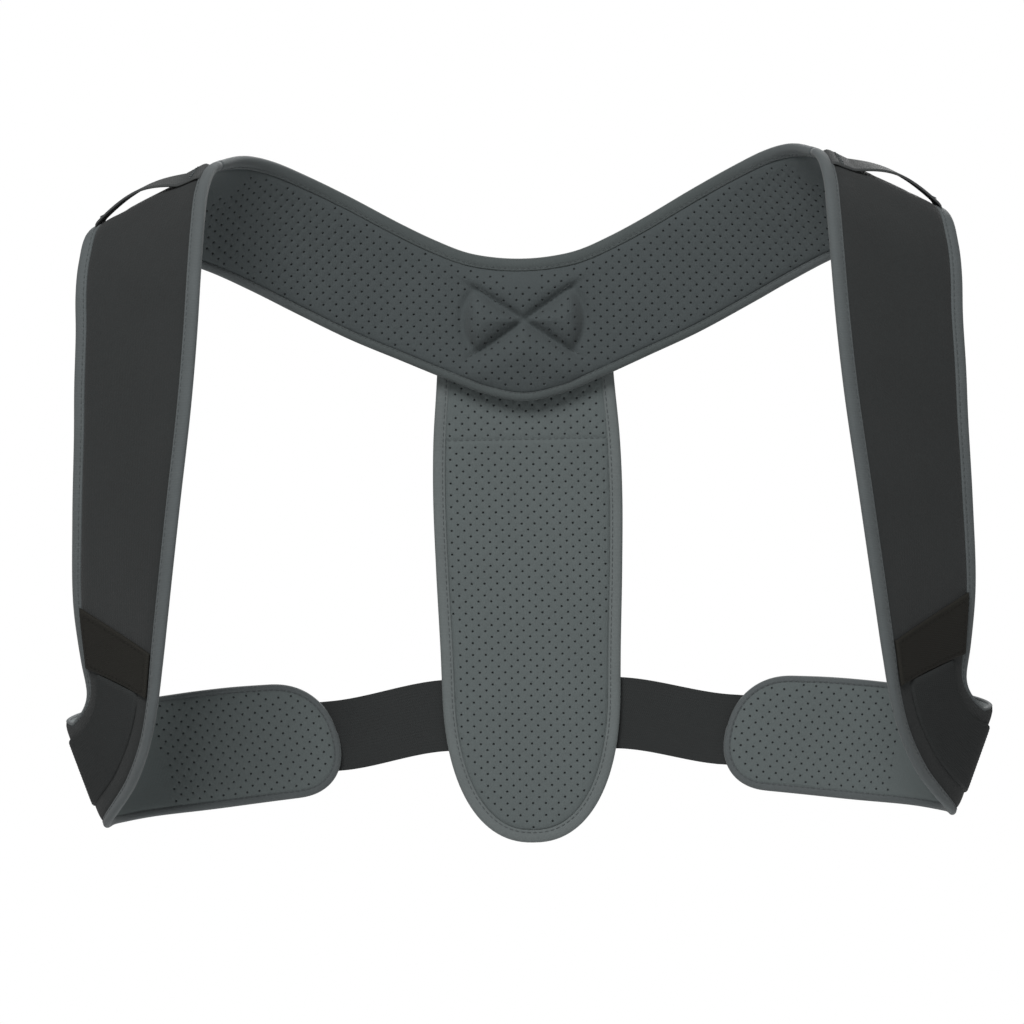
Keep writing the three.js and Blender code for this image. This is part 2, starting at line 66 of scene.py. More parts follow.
# Strap and its plies, as offsets outward from the skin side
STRAP_WIDTH = 68
LINING_THICKNESS = 2.6
PLY_GAP = 0.3
FACE_THICKNESS = 1.1
FACE_IN = LINING_THICKNESS + PLY_GAP
STACK = FACE_IN + FACE_THICKNESS
BINDING_WIDTH = 7
BINDING_THICKNESS = 5
BINDING_OUT = (STACK + BINDING_THICKNESS) / 2
SEAM_GAP = 0.4
TONGUE_ROUND = 31
TONGUE_ROUNDNESS = 2.3
TUCK = 0.7
NARROW_TAPE = 0.35
TAPE_STEP = 2.5

# Spine pad
PAD_LENGTH = 301
PAD_HALF_WIDTH = 52
PAD_TOP = 46
PAD_BOW = 7
PAD_FOOT_ROUND = 84
PAD_HEAD_ROUND = 24
PAD_CLEARANCE = 0.4
FOOT_ROUNDNESS = 2.3
HEAD_ROUNDNESS = 3.6
PAD_SEAM_DEPTH = 80.6

# Elastic band, hook strips and shoulder loops
BAND_WIDTH = 39
BAND_THICKNESS = 1.4
BAND_DROP = 277
BAND_IN = BINDING_OUT + 0.4
BAND_ROWS = 70
TAB_HEIGHT = 26
TAB_SKEW = 21
TAB_THICKNESS = 1.6
TAB_LIFT = 3.5
KEEPER_WIDTH = 16
KEEPER_THICKNESS = 1.3
KEEPER_RISE = 5
KEEPER_FORWARD = 10
KEEPER_FLAT = 0.2

# Cross-stitched puff in the middle of the yoke
PUFF_HALF_WIDTH = 27
PUFF_HALF_HEIGHT = 18
PUFF_DEPTH = 3.6
PUFF_MIDDLE = 62

# One half of the tape's section (side, rise), from its inner edge round to its outer edge
TAPE_HALF = [
    (-3.5, 1.35),
    (-3.42, 1.8),
    (-3.1, 2.12),
    (-2.55, 2.2),
    (-2.05, 2.05),
    (-1.55, 2.22),
    (-0.7, 2.45),
    (0.4, 2.5),
    (1.5, 2.34),
    (2.4, 1.92),
    (3.08, 1.22),
    (3.42, 0.5),
]

# Stitches, as (length, gap, radius), where they lie on a tape, and the shape of a thread
TAPE_STITCH = (2.5, 0.75, 0.22)
CROSS_STITCH = (2.2, 0.9, 0.24)
HOOK_STITCH = (2.2, 0.9, 0.22)
TACK_STITCH = (2.2, 0.1, 0.28)
STITCH_SIDE, STITCH_RISE = -2.05, 2.08
THREAD_RINGS = np.array([0, 0.16, 0.5, 0.84, 1])
THREAD_SIDES = 6

# Meshing of the cloths: rings of points along a tape, open support points and holes
RING_INSETS = (0.5, 1.1, 1.9, 2.9, 4.1, 5.6, 7.6)
EDGE_STEP = 3.0
SUPPORT_STEP = 4.0
PLAIN_STEP = 9.0
PUFF_STEP = (1.7, 1.45)
SEAM_POINTS = np.linspace(0, 1, 19)[1:-1, None]
HOLE_SIDES = 8
NO_HOLES = np.zeros((0, 2))
NO_FACES = np.zeros((0, 3), int)
NO_SEAM = 1e3
CLOTH_MAP = "cloth_metres"

# Lengths of the cloth's slow waves, and pitches of the weaves in metres
RIPPLE_LENGTHS = (41.0, 57.0, 33.0)
COURSE_PITCH = 0.0009
WALE_PITCH = 0.00072
TAPE_RIB_PITCH = 0.0008

# Places along the harness, counted in rows of the table below
CREST_SECTION = 9.5
TAB_SECTION = 18.02
FOLD_SECTION = 21.9
HOLES_FROM_SECTION = 24.5

# Neck edge (reach, back, down), direction to the arm edge (out, aft, fall) and width, as shares
HARNESS = np.array(
    [
        [0, 1, 0.088, 0, 0.04, 1, 1.14],
        [0.064, 1, 0.085, 0.07, 0.04, 1, 1.1],
        [0.128, 0.99, 0.076, 0.17, 0.05, 0.98, 1.03],
        [0.2, 0.965, 0.055, 0.31, 0.05, 0.95, 1],
        [0.276, 0.92, 0.028, 0.42, 0.05, 0.9, 1.01],
        [0.387, 0.8, -0.015, 0.45, 0.06, 0.88, 1.02],
        [0.472, 0.63, -0.044, 0.47, 0.1, 0.87, 1.01],
        [0.543, 0.41, -0.063, 0.54, 0.13, 0.83, 1],
        [0.59, 0.2, -0.065, 0.7, 0.1, 0.71, 1.03],
        [0.622, 0, -0.052, 0.89, 0, 0.46, 1.12],
        [0.645, -0.18, -0.038, 0.88, 0, 0.46, 1.14],
        [0.656, -0.37, -0.001, 0.87, 0.09, 0.48, 1.15],
        [0.658, -0.55, 0.055, 0.87, 0.19, 0.45, 1.15],
        [0.661, -0.68, 0.127, 0.87, 0.28, 0.4, 1.13],
        [0.668, -0.79, 0.234, 0.88, 0.37, 0.29, 1.1],
        [0.68, -0.86, 0.34, 0.88, 0.44, 0.18, 1.06],
        [0.704, -0.93, 0.489, 0.85, 0.52, 0.08, 1.02],
        [0.729, -0.96, 0.638, 0.79, 0.61, -0.02, 1],
        [0.745, -0.96, 0.728, 0.7, 0.71, -0.02, 1],
        [0.757, -0.94, 0.79, 0.64, 0.76, -0.07, 1],
        [0.78, -0.85, 0.856, 0.61, 0.75, -0.25, 1.02],
        [0.822, -0.66, 0.92, 0.57, 0.68, -0.47, 1.03],
        [0.9, -0.275, 0.99, 0.39, 0.42, -0.82, 1.01],
        [0.902, 0.1, 0.996, 0.35, 0.29, -0.89, 0.98],
        [0.848, 0.37, 0.995, 0.3, 0.2, -0.93, 0.98],
        [0.736, 0.63, 0.992, 0.29, 0.12, -0.95, 0.98],
        [0.613, 0.85, 0.987, 0.28, 0.07, -0.955, 0.98],
        [0.51, 0.98, 0.982, 0.26, 0.05, -0.96, 0.96],
        [0.412, 1.06, 0.976, 0.25, 0.05, -0.965, 0.94],
    ]
)
LAST = len(HARNESS) - 1

# Half width of the spine pad down its length, as shares of its length and half width
PAD_SIDES = np.array(
    [[0, 0.88], [0.16, 0.935], [0.27, 0.985], [0.37, 1], [0.5, 0.985], [0.67, 0.95], [1, 0.92]]
)


def mix(a, b, share):
    return a + (b - a) * share


def smooth(x, low, high):
    t = np.clip((x - low) / (high - low), 0, 1)
    return t * t * (3 - 2 * t)


def unit(v):
    return v / np.maximum(np.linalg.norm(v, axis=-1, keepdims=True), 1e-12)


def pillow(depth, reach):
    """A quarter round that climbs from 0 at a seam to 1 at reach from it."""
    t = np.clip(depth / reach, 0, 1)
    return np.sqrt(np.maximum(0, 1 - (1 - t) ** 2))


def dome(depth, reach):
    """A rounder climb than the pillow's, with a slope nearly all the way up."""
    return 1 - (1 - np.clip(depth / reach, 0, 1)) ** 1.7


def steps(start, stop, size):
    return np.linspace(start, stop, max(2, int(round(abs(stop - start) / size)) + 1))


def running_length(points):
    return np.concatenate([[0], np.cumsum(np.linalg.norm(np.diff(points, axis=0), axis=1))])


def at_length(lengths, values, where):
    return np.stack([np.interp(where, lengths, values[:, k]) for k in range(values.shape[1])], -1)


# The ribbon: edge curves and the surface between them


def centripetal(points):
    """Cubics of a centripetal Catmull-Rom curve, one row of four coefficients for each span."""
    ends = np.vstack([2 * points[0] - points[1], points, 2 * points[-1] - points[-2]])
    p0, p1, p2, p3 = ends[:-3], ends[1:-2], ends[2:-1], ends[3:]

    def gap(a, b):
        return np.sum((b - a) ** 2, axis=1, keepdims=True) ** 0.25

    d0, d1, d2 = gap(p0, p1), gap(p1, p2), gap(p2, p3)
    leave = ((p1 - p0) / d0 - (p2 - p0) / (d0 + d1) + (p2 - p1) / d1) * d1
    arrive = ((p2 - p1) / d1 - (p3 - p1) / (d1 + d2) + (p3 - p2) / d2) * d1
    return np.stack([p1, leave, 3 * (p2 - p1) - 2 * leave - arrive, 2 * (p1 - p2) + leave + arrive], 1)


def edge_cubics():
    neck = HARNESS[:, :3] * [-HALF_SPAN, HALF_DEPTH, -DROP]
    toward = unit(HARNESS[:, 3:6] * [-1, 1, -1])
    arm = neck + toward * HARNESS[:, 6:] * STRAP_WIDTH
    return [centripetal(np.vstack([p[:0:-1] * [-1, 1, 1], p])) for p in (neck, arm)]


NECK, ARM = edge_cubics()


def on_edge(cubics, section):
    place = np.clip(np.asarray(section, float) + LAST, 0, 2 * LAST)
    span = np.minimum(place.astype(int), 2 * LAST - 1)
    w = (place - span)[..., None]
    c = cubics[span]
    return c[..., 0, :] + w * (c[..., 1, :] + w * (c[..., 2, :] + w * c[..., 3, :]))


FINE_SECTIONS = np.linspace(0, LAST, LAST * 20 + 1)
FINE_ALONG = running_length((on_edge(NECK, FINE_SECTIONS) + on_edge(ARM, FINE_SECTIONS)) / 2)


def along_at(section):
    return float(np.interp(section, FINE_SECTIONS, FINE_ALONG))


TIP = float(FINE_ALONG[-1])
CREST = along_at(CREST_SECTION)
TAB = along_at(TAB_SECTION)
SHOULDER_OF_TIP = TIP - TONGUE_ROUND


def surface_point(along, across):
    """Skin-side points of the ribbon, across from 0 at the neck edge to 1 at the arm edge."""
    along, across = np.broadcast_arrays(np.asarray(along, float), np.asarray(across, float))
    section = np.interp(np.abs(along), FINE_ALONG, FINE_SECTIONS)
    point = mix(on_edge(NECK, section), on_edge(ARM, section), across[..., None])
    point[..., 0] *= np.where(along < 0, -1, 1)
    return point


def surface(along, across):
    """Points, outward normals and the direction onward along the ribbon."""
    low = np.minimum(along, TIP - 1) - 1
    onward = surface_point(low + 2, across) - surface_point(low, across)
    over = surface_point(along, 1) - surface_point(along, 0)
    return surface_point(along, across), unit(np.cross(over, onward)), unit(onward)


def inset_share(along, edge, inset):
    """Share of the width that an inset square to one edge takes up."""
    over = surface_point(along, 1) - surface_point(along, 0)
    return inset / np.linalg.norm(np.cross(over, surface(along, edge)[2]), axis=-1)


def riding_line(along, edge, inset):
    return np.abs(edge - inset_share(np.abs(along), edge, inset))


def tab_skew(across):
    return TAB_SKEW * (0.5 - across)


def tab_edge(across, side):
    """Place along of the hook strip's upper edge (side -1), lower edge (1) or between them."""
    return TAB - TAB_LIFT + tab_skew(across) + side * TAB_HEIGHT * mix(0.38, 0.62, across)


# Where strap and tongue meet under the hook strip, at the neck edge and at the arm edge
UNDER_TAB = (TAB + tab_skew(0.1), TAB + tab_skew(0.9))


# Spine pad surface

PAD_REAR = max(surface_point(0.0, 0.0)[1], surface_point(0.0, 1.0)[1]) + BINDING_OUT
PAD_FRONT = PAD_REAR + PAD_CLEARANCE - (STACK - BINDING_THICKNESS) / 2


def pad_side(depth):
    """Half width of the pad's outline, a smooth curve through the table."""
    x, y = PAD_SIDES[:, 0], PAD_SIDES[:, 1]
    t = np.clip(np.asarray(depth, float) / PAD_LENGTH, 0, 1)
    i = np.clip(np.searchsorted(x, t, side="right") - 1, 0, len(x) - 2)
    secant = np.diff(y) / np.diff(x)
    slope = np.concatenate([secant[:1], (secant[:-1] + secant[1:]) / 2, secant[-1:]])
    h = x[i + 1] - x[i]
    w = (t - x[i]) / h
    hermite = (
        (2 * w**3 - 3 * w**2 + 1) * y[i]
        + (w**3 - 2 * w**2 + w) * h * slope[i]
        + (3 * w**2 - 2 * w**3) * y[i + 1]
        + (w**3 - w**2) * h * slope[i + 1]
    )
    return PAD_HALF_WIDTH * hermite


def pad_place(x, depth):
    x, depth = np.broadcast_arrays(np.asarray(x, float), np.asarray(depth, float))
    share = depth / PAD_LENGTH
    point = np.stack([x, PAD_FRONT + PAD_BOW * np.sin(np.pi * share), -PAD_TOP - depth], -1)
    slope = PAD_BOW * np.pi / PAD_LENGTH * np.cos(np.pi * share)
    normal = np.stack([np.zeros_like(x), np.ones_like(x), slope], -1)
    return point, unit(normal)


def pad_ring(inset, step=SUPPORT_STEP):
    """The pad's outline at an inset, as (x, depth), anticlockwise seen from in front."""

    def corner(start, length, roundness, turns):
        a = np.radians(turns)
        depth = start + length * np.sin(a) ** (2 / roundness)
        return np.stack([(pad_side(depth) - inset) * np.cos(a) ** (2 / roundness), depth], -1)

    foot_start = PAD_LENGTH - PAD_FOOT_ROUND
    foot = corner(foot_start, PAD_FOOT_ROUND - inset, FOOT_ROUNDNESS, np.arange(3, 88, 3.0))
    head_turns = np.concatenate([[89.7, 89, 87.5], np.arange(85, 3, -6.0)])
    head = corner(PAD_HEAD_ROUND, inset - PAD_HEAD_ROUND, HEAD_ROUNDNESS, head_turns)
    depth = steps(PAD_HEAD_ROUND, foot_start, step)
    side = np.stack([pad_side(depth) - inset, depth], -1)
    half = np.vstack([head, side, foot])
    return np.vstack([[[0, inset]], half, [[0, PAD_LENGTH - inset]], half[::-1] * [-1, 1]])


# Flat pattern of the ribbon


class Pattern:
    """The ribbon between two places along it, laid flat without stretch."""

    def __init__(self, start, stop, turn_at=None):
        self.along = steps(start, stop, 1.0)
        neck, arm = surface_point(self.along, 0.0), surface_point(self.along, 1.0)
        flat = [(np.zeros(2), np.array([0.0, -np.linalg.norm(arm[0] - neck[0])]))]
        for i in range(1, len(self.along)):
            a = self.third_corner(*flat[-1], *(np.linalg.norm(neck[i] - p[i - 1]) for p in (neck, arm)))
            b = self.third_corner(
                a, flat[-1][1], np.linalg.norm(arm[i] - neck[i]), np.linalg.norm(arm[i] - arm[i - 1])
            )
            flat.append((a, b))
        self.neck, self.arm = (np.array([pair[k] for pair in flat]) for k in (0, 1))
        self.turn(start if turn_at is None else turn_at)

    @staticmethod
    def third_corner(p, q, from_p, from_q):
        base = q - p
        size = np.linalg.norm(base)
        x = (from_p**2 - from_q**2 + size**2) / (2 * size)
        e = base / size
        return p + x * e + np.sqrt(max(0, from_p**2 - x**2)) * np.array([-e[1], e[0]])

    def turn(self, where):
        """Turns the pattern so that the strap runs along its first axis at that place."""
        a, b = (self.to_flat(np.array([where + d]), np.array([0.5]))[0] for d in (-2, 2))
        direction = (b - a) / np.linalg.norm(b - a)
        rotation = np.array([direction, [-direction[1], direction[0]]]).T
        middle = self.to_flat(np.array([where]), np.array([0.5]))[0]
        self.neck, self.arm = ((p - middle) @ rotation for p in (self.neck, self.arm))

    def edges_at(self, along):
        return (at_length(self.along, p, along) for p in (self.neck, self.arm))

    def to_flat(self, along, across):
        neck, arm = self.edges_at(along)
        return mix(neck, arm, np.asarray(across)[..., None])

    def to_ribbon(self, flat):
        """Along and across of points of the pattern, by halving the range that holds each."""
        low = np.full(len(flat), self.along[0])
        high = np.full(len(flat), self.along[-1])
        for _ in range(20):
            middle = (low + high) / 2
            neck, arm = self.edges_at(middle)
            over, to = arm - neck, flat - neck
            ahead = over[:, 0] * to[:, 1] - over[:, 1] * to[:, 0] > 0
            low, high = np.where(ahead, middle, low), np.where(ahead, high, middle)
        neck, arm = self.edges_at(low)
        over = arm - neck
        return low, ((flat - neck) * over).sum(1) / (over**2).sum(1)

    def place(self, flat):
        return surface(*self.to_ribbon(flat))[:2]


class YokePattern(Pattern):
    """The yoke's pattern, which runs both ways from the middle of the back."""

    def __init__(self, reach):
        super().__init__(0.0, reach)

    def turn(self, where):
        self.neck = np.vstack([self.neck[:0:-1] * [-1, 1], self.neck])
        self.arm = np.vstack([self.arm[:0:-1] * [-1, 1], self.arm])
        self.along = np.concatenate([-self.along[:0:-1], self.along])


def distance_to(points, starts, ends):
    """Distance of each point from the nearest of the segments."""
    best = np.full(len(points), np.inf)
    span = ends - starts
    size = np.maximum((span**2).sum(1), 1e-12)
    for i in range(0, len(points), 3000):
        to = points[i : i + 3000, None] - starts
        share = np.clip((to * span).sum(2) / size, 0, 1)
        best[i : i + 3000] = np.sqrt(((to - share[..., None] * span) ** 2).sum(2)).min(1)
    return best


def inside(points, ring):
    """Whether each point lies inside the closed ring."""
    x, y = points[:, :1], points[:, 1:]
    a, b = ring, np.roll(ring, -1, axis=0)
    crosses = (a[:, 1] > y) != (b[:, 1] > y)
    rise = np.where(b[:, 1] == a[:, 1], 1e-12, b[:, 1] - a[:, 1])
    return (crosses & (x < a[:, 0] + (y - a[:, 1]) / rise * (b[:, 0] - a[:, 0]))).sum(1) % 2 == 1


def triangulate(points, ring_edges):
    """Delaunay triangles inside the edges, all anticlockwise."""
    found = geometry.delaunay_2d_cdt([Vector(p) for p in points], ring_edges, [], 1, 1e-5)
    if len(found[0]) != len(points):
        raise RuntimeError(f"the flat pattern has {len(points)} points but was cut into {len(found[0])}")
    back = np.array([ids[0] for ids in found[3]])
    faces = back[np.array(found[2])]
    a, b, c = (points[faces[:, k]] for k in range(3))
    turned = (b[:, 0] - a[:, 0]) * (c[:, 1] - a[:, 1]) < (b[:, 1] - a[:, 1]) * (c[:, 0] - a[:, 0])
    faces[turned] = faces[turned][:, ::-1]
    return faces


def loop_edges(start, count):
    return [(start + i, start + (i + 1) % count) for i in range(count)]


def lattice(low, high, pitch, row_gap):
    """A staggered lattice of points that covers a box."""
    rows = np.arange(np.floor(low[1] / row_gap), np.ceil(high[1] / row_gap) + 1)
    columns = np.arange(np.floor(low[0] / pitch) - 1, np.ceil(high[0] / pitch) + 1)
    j, i = np.meshgrid(rows, columns, indexing="ij")
    return np.stack([(i + 0.5 * (j % 2)) * pitch, j * row_gap], -1).reshape(-1, 2)


class Cloth:
    """A flat piece of cloth: its outline, which of its sides are bound, and its support points."""

    def __init__(self, outline, bound, rings, place):
        self.outline = outline
        self.starts, self.ends = outline, np.roll(outline, -1, axis=0)
        self.bound = bound
        self.rings = rings
        self.place = place

    def rim(self, points):
        return distance_to(points, self.starts[self.bound], self.ends[self.bound])

    def seam(self, points):
        if self.bound.all():
            return np.full(len(points), NO_SEAM)
        return distance_to(points, self.starts[~self.bound], self.ends[~self.bound])

    def area(self):
        x, y = self.outline.T
        return abs((x * np.roll(y, -1) - y * np.roll(x, -1)).sum()) / 2

    def size(self):
        span = np.ptp(self.outline, axis=0)
        return tuple(sorted(float(s) * MM for s in span))


def spread(cloth, spacing, keep_off, clearance, margin=RING_INSETS[-1]):
    """Support points over the middle of a cloth, clear of the points to keep off."""
    low, high = cloth.outline.min(0), cloth.outline.max(0)
    points = lattice(low, high, spacing, spacing * 0.87)
    points = points[inside(points, cloth.outline)]
    points = points[(cloth.rim(points) > margin + spacing * 0.4) & (cloth.seam(points) > spacing * 0.4)]
    return clear_of(points, keep_off, clearance)


def clear_of(points, others, clearance):
    if not len(others) or not len(points):
        return points
    keep = np.ones(len(points), bool)
    for i in range(0, len(points), 2000):
        gap = ((points[i : i + 2000, None] - others) ** 2).sum(2).min(1)
        keep[i : i + 2000] = gap > clearance**2
    return points[keep]


# Meshes


class Draft:
    """Vertices, faces, flat coordinates and finishes of a mesh while it is put together."""

    def __init__(self):
        self.points, self.flats, self.faces, self.finishes = [], [], [], []
        self.count = 0

    def add(self, points, flats, faces, finish=0):
        """Adds points with faces that count from their own start, and returns that start."""
        start = self.count
        self.points.append(np.asarray(points, float).reshape(-1, 3))
        self.flats.append(np.asarray(flats, float).reshape(-1, 2))
        self.count += len(self.points[-1])
        self.join(np.asarray(faces, int) + start, finish)
        return start

    def join(self, faces, finish=0):
        if len(faces):
            self.faces.append(np.asarray(faces, int))
            self.finishes.append(np.full(len(faces), finish))

    def build(self, name, materials, mirror=False):
        points = np.vstack(self.points) * MM
        flats = np.vstack(self.flats) * MM
        if mirror:
            points = points * [-1, 1, 1]
        faces = []
        for block in self.faces:
            faces.extend((block[:, ::-1] if mirror else block).tolist())
        mesh = bpy.data.meshes.new(name)
        mesh.from_pydata(points.tolist(), [], faces)
        mesh.polygons.foreach_set("material_index", np.concatenate(self.finishes).astype(np.int32))
        mesh.polygons.foreach_set("use_smooth", np.ones(len(mesh.polygons), bool))
        corners = np.zeros(len(mesh.loops), np.int32)
        mesh.loops.foreach_get("vertex_index", corners)
        layer = mesh.uv_layers.new(name=CLOTH_MAP)
        layer.data.foreach_set("uv", flats[corners].astype(np.float32).ravel())
        for material in materials:
            mesh.materials.append(material)
        mesh.validate(clean_customdata=False)
        mesh.update()
        obj = bpy.data.objects.new(name, mesh)
        bpy.context.scene.collection.objects.link(obj)
        return obj


def grid_faces(rows, columns, closed_rows=False, closed_columns=False):
    i = np.arange(rows if closed_rows else rows - 1)
    j = np.arange(columns if closed_columns else columns - 1)
    i, j = (a.ravel() for a in np.meshgrid(i, j, indexing="ij"))
    k, m = (i + 1) % rows, (j + 1) % columns
    return np.stack([i * columns + j, i * columns + m, k * columns + m, k * columns + j], -1)


def cut_cloth(draft, cloth, visible, hidden, skin_side, holes, hole, extra=None):
    """Lays a cloth on its surface: a visible side with holes pressed in, a plain far side and a rim.

    visible takes points in space with their rim and seam distances, and gives offsets along the
    outward normal. hidden is the far side's offset. extra are closer support points.
    """
    angles = np.arange(HOLE_SIDES) * 2 * np.pi / HOLE_SIDES
    circle = np.stack([np.cos(angles), np.sin(angles)], -1)
    count = len(cloth.outline)
    rings = [clear_of(r, holes, hole.rim * 1.35) for r in cloth.rings]
    rings = [r[(cloth.seam(r) > 0.8)] for r in rings]
    spaced = spread(cloth, SUPPORT_STEP, holes, hole.rim * 1.5)
    if extra is not None:
        extra = extra[inside(extra, cloth.outline) & (cloth.rim(extra) > 1.2)]
        extra = clear_of(extra, holes, hole.rim * 1.3)
        spaced = clear_of(spaced, extra, 1.0)
        spaced = np.vstack([spaced, extra])
        rings = [clear_of(r, extra, 0.9) for r in rings]
    parts = [cloth.outline, *rings, spaced]
    ring_start = sum(len(p) for p in parts)
    rims = (holes[:, None] + hole.rim * circle).reshape(-1, 2)
    flat = np.vstack([*parts, rims])
    edges = loop_edges(0, count)
    for i in range(len(holes)):
        edges += loop_edges(ring_start + i * HOLE_SIDES, HOLE_SIDES)
    faces = triangulate(flat, edges)
    owner = np.maximum(-1, (np.arange(len(flat)) - ring_start) // HOLE_SIDES)[faces]
    in_hole = (owner[:, 0] >= 0) & (owner[:, 0] == owner[:, 1]) & (owner[:, 1] == owner[:, 2])
    faces = faces[~in_hole]

    point, normal = cloth.place(flat)
    offset = visible(point, cloth.rim(flat), cloth.seam(flat))
    way = -1 if skin_side else 1
    start = draft.add(point + normal * offset[:, None], flat, faces[:, ::way])
    if len(holes):
        press_holes(draft, start + ring_start, holes, circle, offset[ring_start:], cloth, hole, way)

    far = np.vstack([cloth.outline, spread(cloth, PLAIN_STEP, NO_HOLES, 1.0, margin=3.0)])
    far_faces = triangulate(far, loop_edges(0, count))
    far_point, far_normal = cloth.place(far)
    far_start = draft.add(far_point + far_normal * hidden, far, far_faces[:, ::-way])
    near, after = np.arange(count), (np.arange(count) + 1) % count
    wall = np.stack([start + near, start + after, far_start + after, far_start + near], -1)
    draft.join(wall[:, ::-way])


def press_holes(draft, rim_start, holes, circle, rim_offsets, cloth, hole, way):
    """Carries each hole from its soft rim down its wall to a closed floor."""
    count = len(holes)
    rim_offsets = rim_offsets.reshape(count, HOLE_SIDES)
    middle = rim_offsets.mean(1, keepdims=True)
    before = rim_start + np.arange(count)[:, None] * HOLE_SIDES + np.arange(HOLE_SIDES)
    for radius, depth, blend, finish in (
        (hole.radius * 1.18, 0.1, 0.8, 0),
        (hole.radius, 0.34, 0.5, 0),
        (hole.radius * 0.93, hole.depth, 0.2, 1),
    ):
        flat = (holes[:, None] + radius * circle).reshape(-1, 2)
        point, normal = cloth.place(flat)
        offset = mix(middle, rim_offsets, blend).reshape(-1) - way * depth
        start = draft.add(point + normal * offset[:, None], flat, NO_FACES)
        here = start + np.arange(count)[:, None] * HOLE_SIDES + np.arange(HOLE_SIDES)
        quad = np.stack([before, np.roll(before, -1, 1), np.roll(here, -1, 1), here], -1).reshape(-1, 4)
        draft.join(quad[:, ::way], finish)
        before = here
    draft.join(before[:, ::way], 1)


class Hole:
    """The sizes of one perforation, in millimetres."""

    def __init__(self, cloth_sizes):
        self.radius = cloth_sizes.hole_diameter / MM / 2
        self.rim = self.radius * 1.55
        self.depth = cloth_sizes.hole_depth / MM
        self.pitch = cloth_sizes.hole_pitch / MM
        self.row_gap = cloth_sizes.hole_row_gap / MM


def hole_places(cloth, hole, border, seam_border):
    low, high = cloth.outline.min(0), cloth.outline.max(0)
    points = lattice(low, high, hole.pitch, hole.row_gap)
    points = points[inside(points, cloth.outline)]
    return points[(cloth.rim(points) > border) & (cloth.seam(points) > seam_border)]


# Cloths of the brace, cut in the flat


def tape_reach(along, edge):
    """Share of the tape's inner half that is there: less on the tongue and the yoke's lower edge."""
    on_tongue = smooth(along, TAB + 45 - 40 * edge, TAB + 115 - 75 * edge)
    on_yoke = edge * smooth(CREST - np.abs(along), 5, 45)
    return mix(1, NARROW_TAPE, np.maximum(on_tongue, on_yoke))


def tape_slim(along, edge):
    """Size of the tape's outer half: thinner round the fold under the arm, most at its sharp turn."""
    fold = along_at(FOLD_SECTION)
    thin = smooth(along, TAB - 10, TAB + 35) * mix(0.27, 0.5, edge)
    eased = thin * (1 - 0.5 * smooth(along, fold + 50, fold + 100))
    return 1 - eased - 0.3 * edge * np.exp(-(((along - fold) / 24) ** 2))


def cloth_inset(reach=1.0):
    """How far inside the edge a cloth ends, tucked under the inner half of its tape."""
    return BINDING_WIDTH / 2 * (1 + reach) - TUCK


def edge_run(pattern, edge, extra, start, stop):
    along = steps(start, stop, EDGE_STEP)
    inset = cloth_inset(tape_reach(along, edge)) + extra
    return pattern.to_flat(along, riding_line(along, edge, inset))


def ribbon_cloth(pattern, starts, stops):
    """A cloth between two seams. Each pair is for the neck side and the arm side."""

    def sides(extra):
        return [edge_run(pattern, edge, extra, starts[edge], stops[edge]) for edge in (0, 1)]

    low, high = sides(0)
    end = mix(low[-1], high[-1], SEAM_POINTS)
    start = mix(high[0], low[0], SEAM_POINTS)
    outline = np.vstack([low, end, high[::-1], start])
    bound = np.zeros(len(outline), bool)
    bound[: len(low) - 1] = True
    bound[len(low) + len(end) : len(low) + len(end) + len(high) - 1] = True
    rings = [np.vstack(sides(extra)) for extra in RING_INSETS]
    return Cloth(outline[::-1], np.roll(bound[::-1], -1), rings, pattern.place)


def tip_places(edge, inset, turns):
    """Along and across of a line round one quarter of the tongue's tip, at angles in degrees."""
    turns, power = np.radians(turns), 2 / TONGUE_ROUNDNESS
    along = SHOULDER_OF_TIP + (TONGUE_ROUND - inset) * np.sin(turns) ** power
    return along, mix(0.5, riding_line(along, edge, inset), np.cos(turns) ** power)


def tongue_cloth(pattern, starts):
    inset = cloth_inset(NARROW_TAPE)

    def side(edge, extra):
        straight = edge_run(pattern, edge, extra, starts[edge], SHOULDER_OF_TIP)
        rounded = pattern.to_flat(*tip_places(edge, inset + extra, np.arange(4, 89, 5.0)))
        return np.vstack([straight, rounded])

    def tip(extra):
        return pattern.to_flat(np.array([TIP - inset - extra]), np.array([0.5]))

    low, high = side(0, 0), side(1, 0)
    start = mix(high[0], low[0], SEAM_POINTS)
    outline = np.vstack([low, tip(0), high[::-1], start])
    bound = np.ones(len(outline), bool)
    bound[len(low) + len(high) :] = False
    rings = [np.vstack([side(0, e), tip(e), side(1, e)[::-1]]) for e in RING_INSETS]
    return Cloth(outline[::-1], np.roll(bound[::-1], -1), rings, pattern.place)


def pad_cloth():
    """The pad's cloth in the flat, seen from behind so that its second axis points up."""

    def flat(ring):
        return ring * [-1, -1]

    def place(points):
        return pad_place(-points[:, 0], -points[:, 1])

    inset = cloth_inset()
    outline = flat(pad_ring(inset))
    if (outline[:, 0] * (np.roll(outline[:, 1], -1) - np.roll(outline[:, 1], 1))).sum() < 0:
        outline = outline[::-1]
    rings = [flat(pad_ring(inset + extra)) for extra in RING_INSETS]
    return Cloth(outline, np.ones(len(outline), bool), rings, place)


def ease(rim, seam, sink, crown, seam_sink):
    """Height over the bound rim: sunk under the tape, then a soft crown. Seams dip a little."""
    rolled = mix(-sink, crown, pillow(rim - 0.5, 6.5))
    return rolled - seam_sink * np.exp(-((seam / 0.9) ** 2))


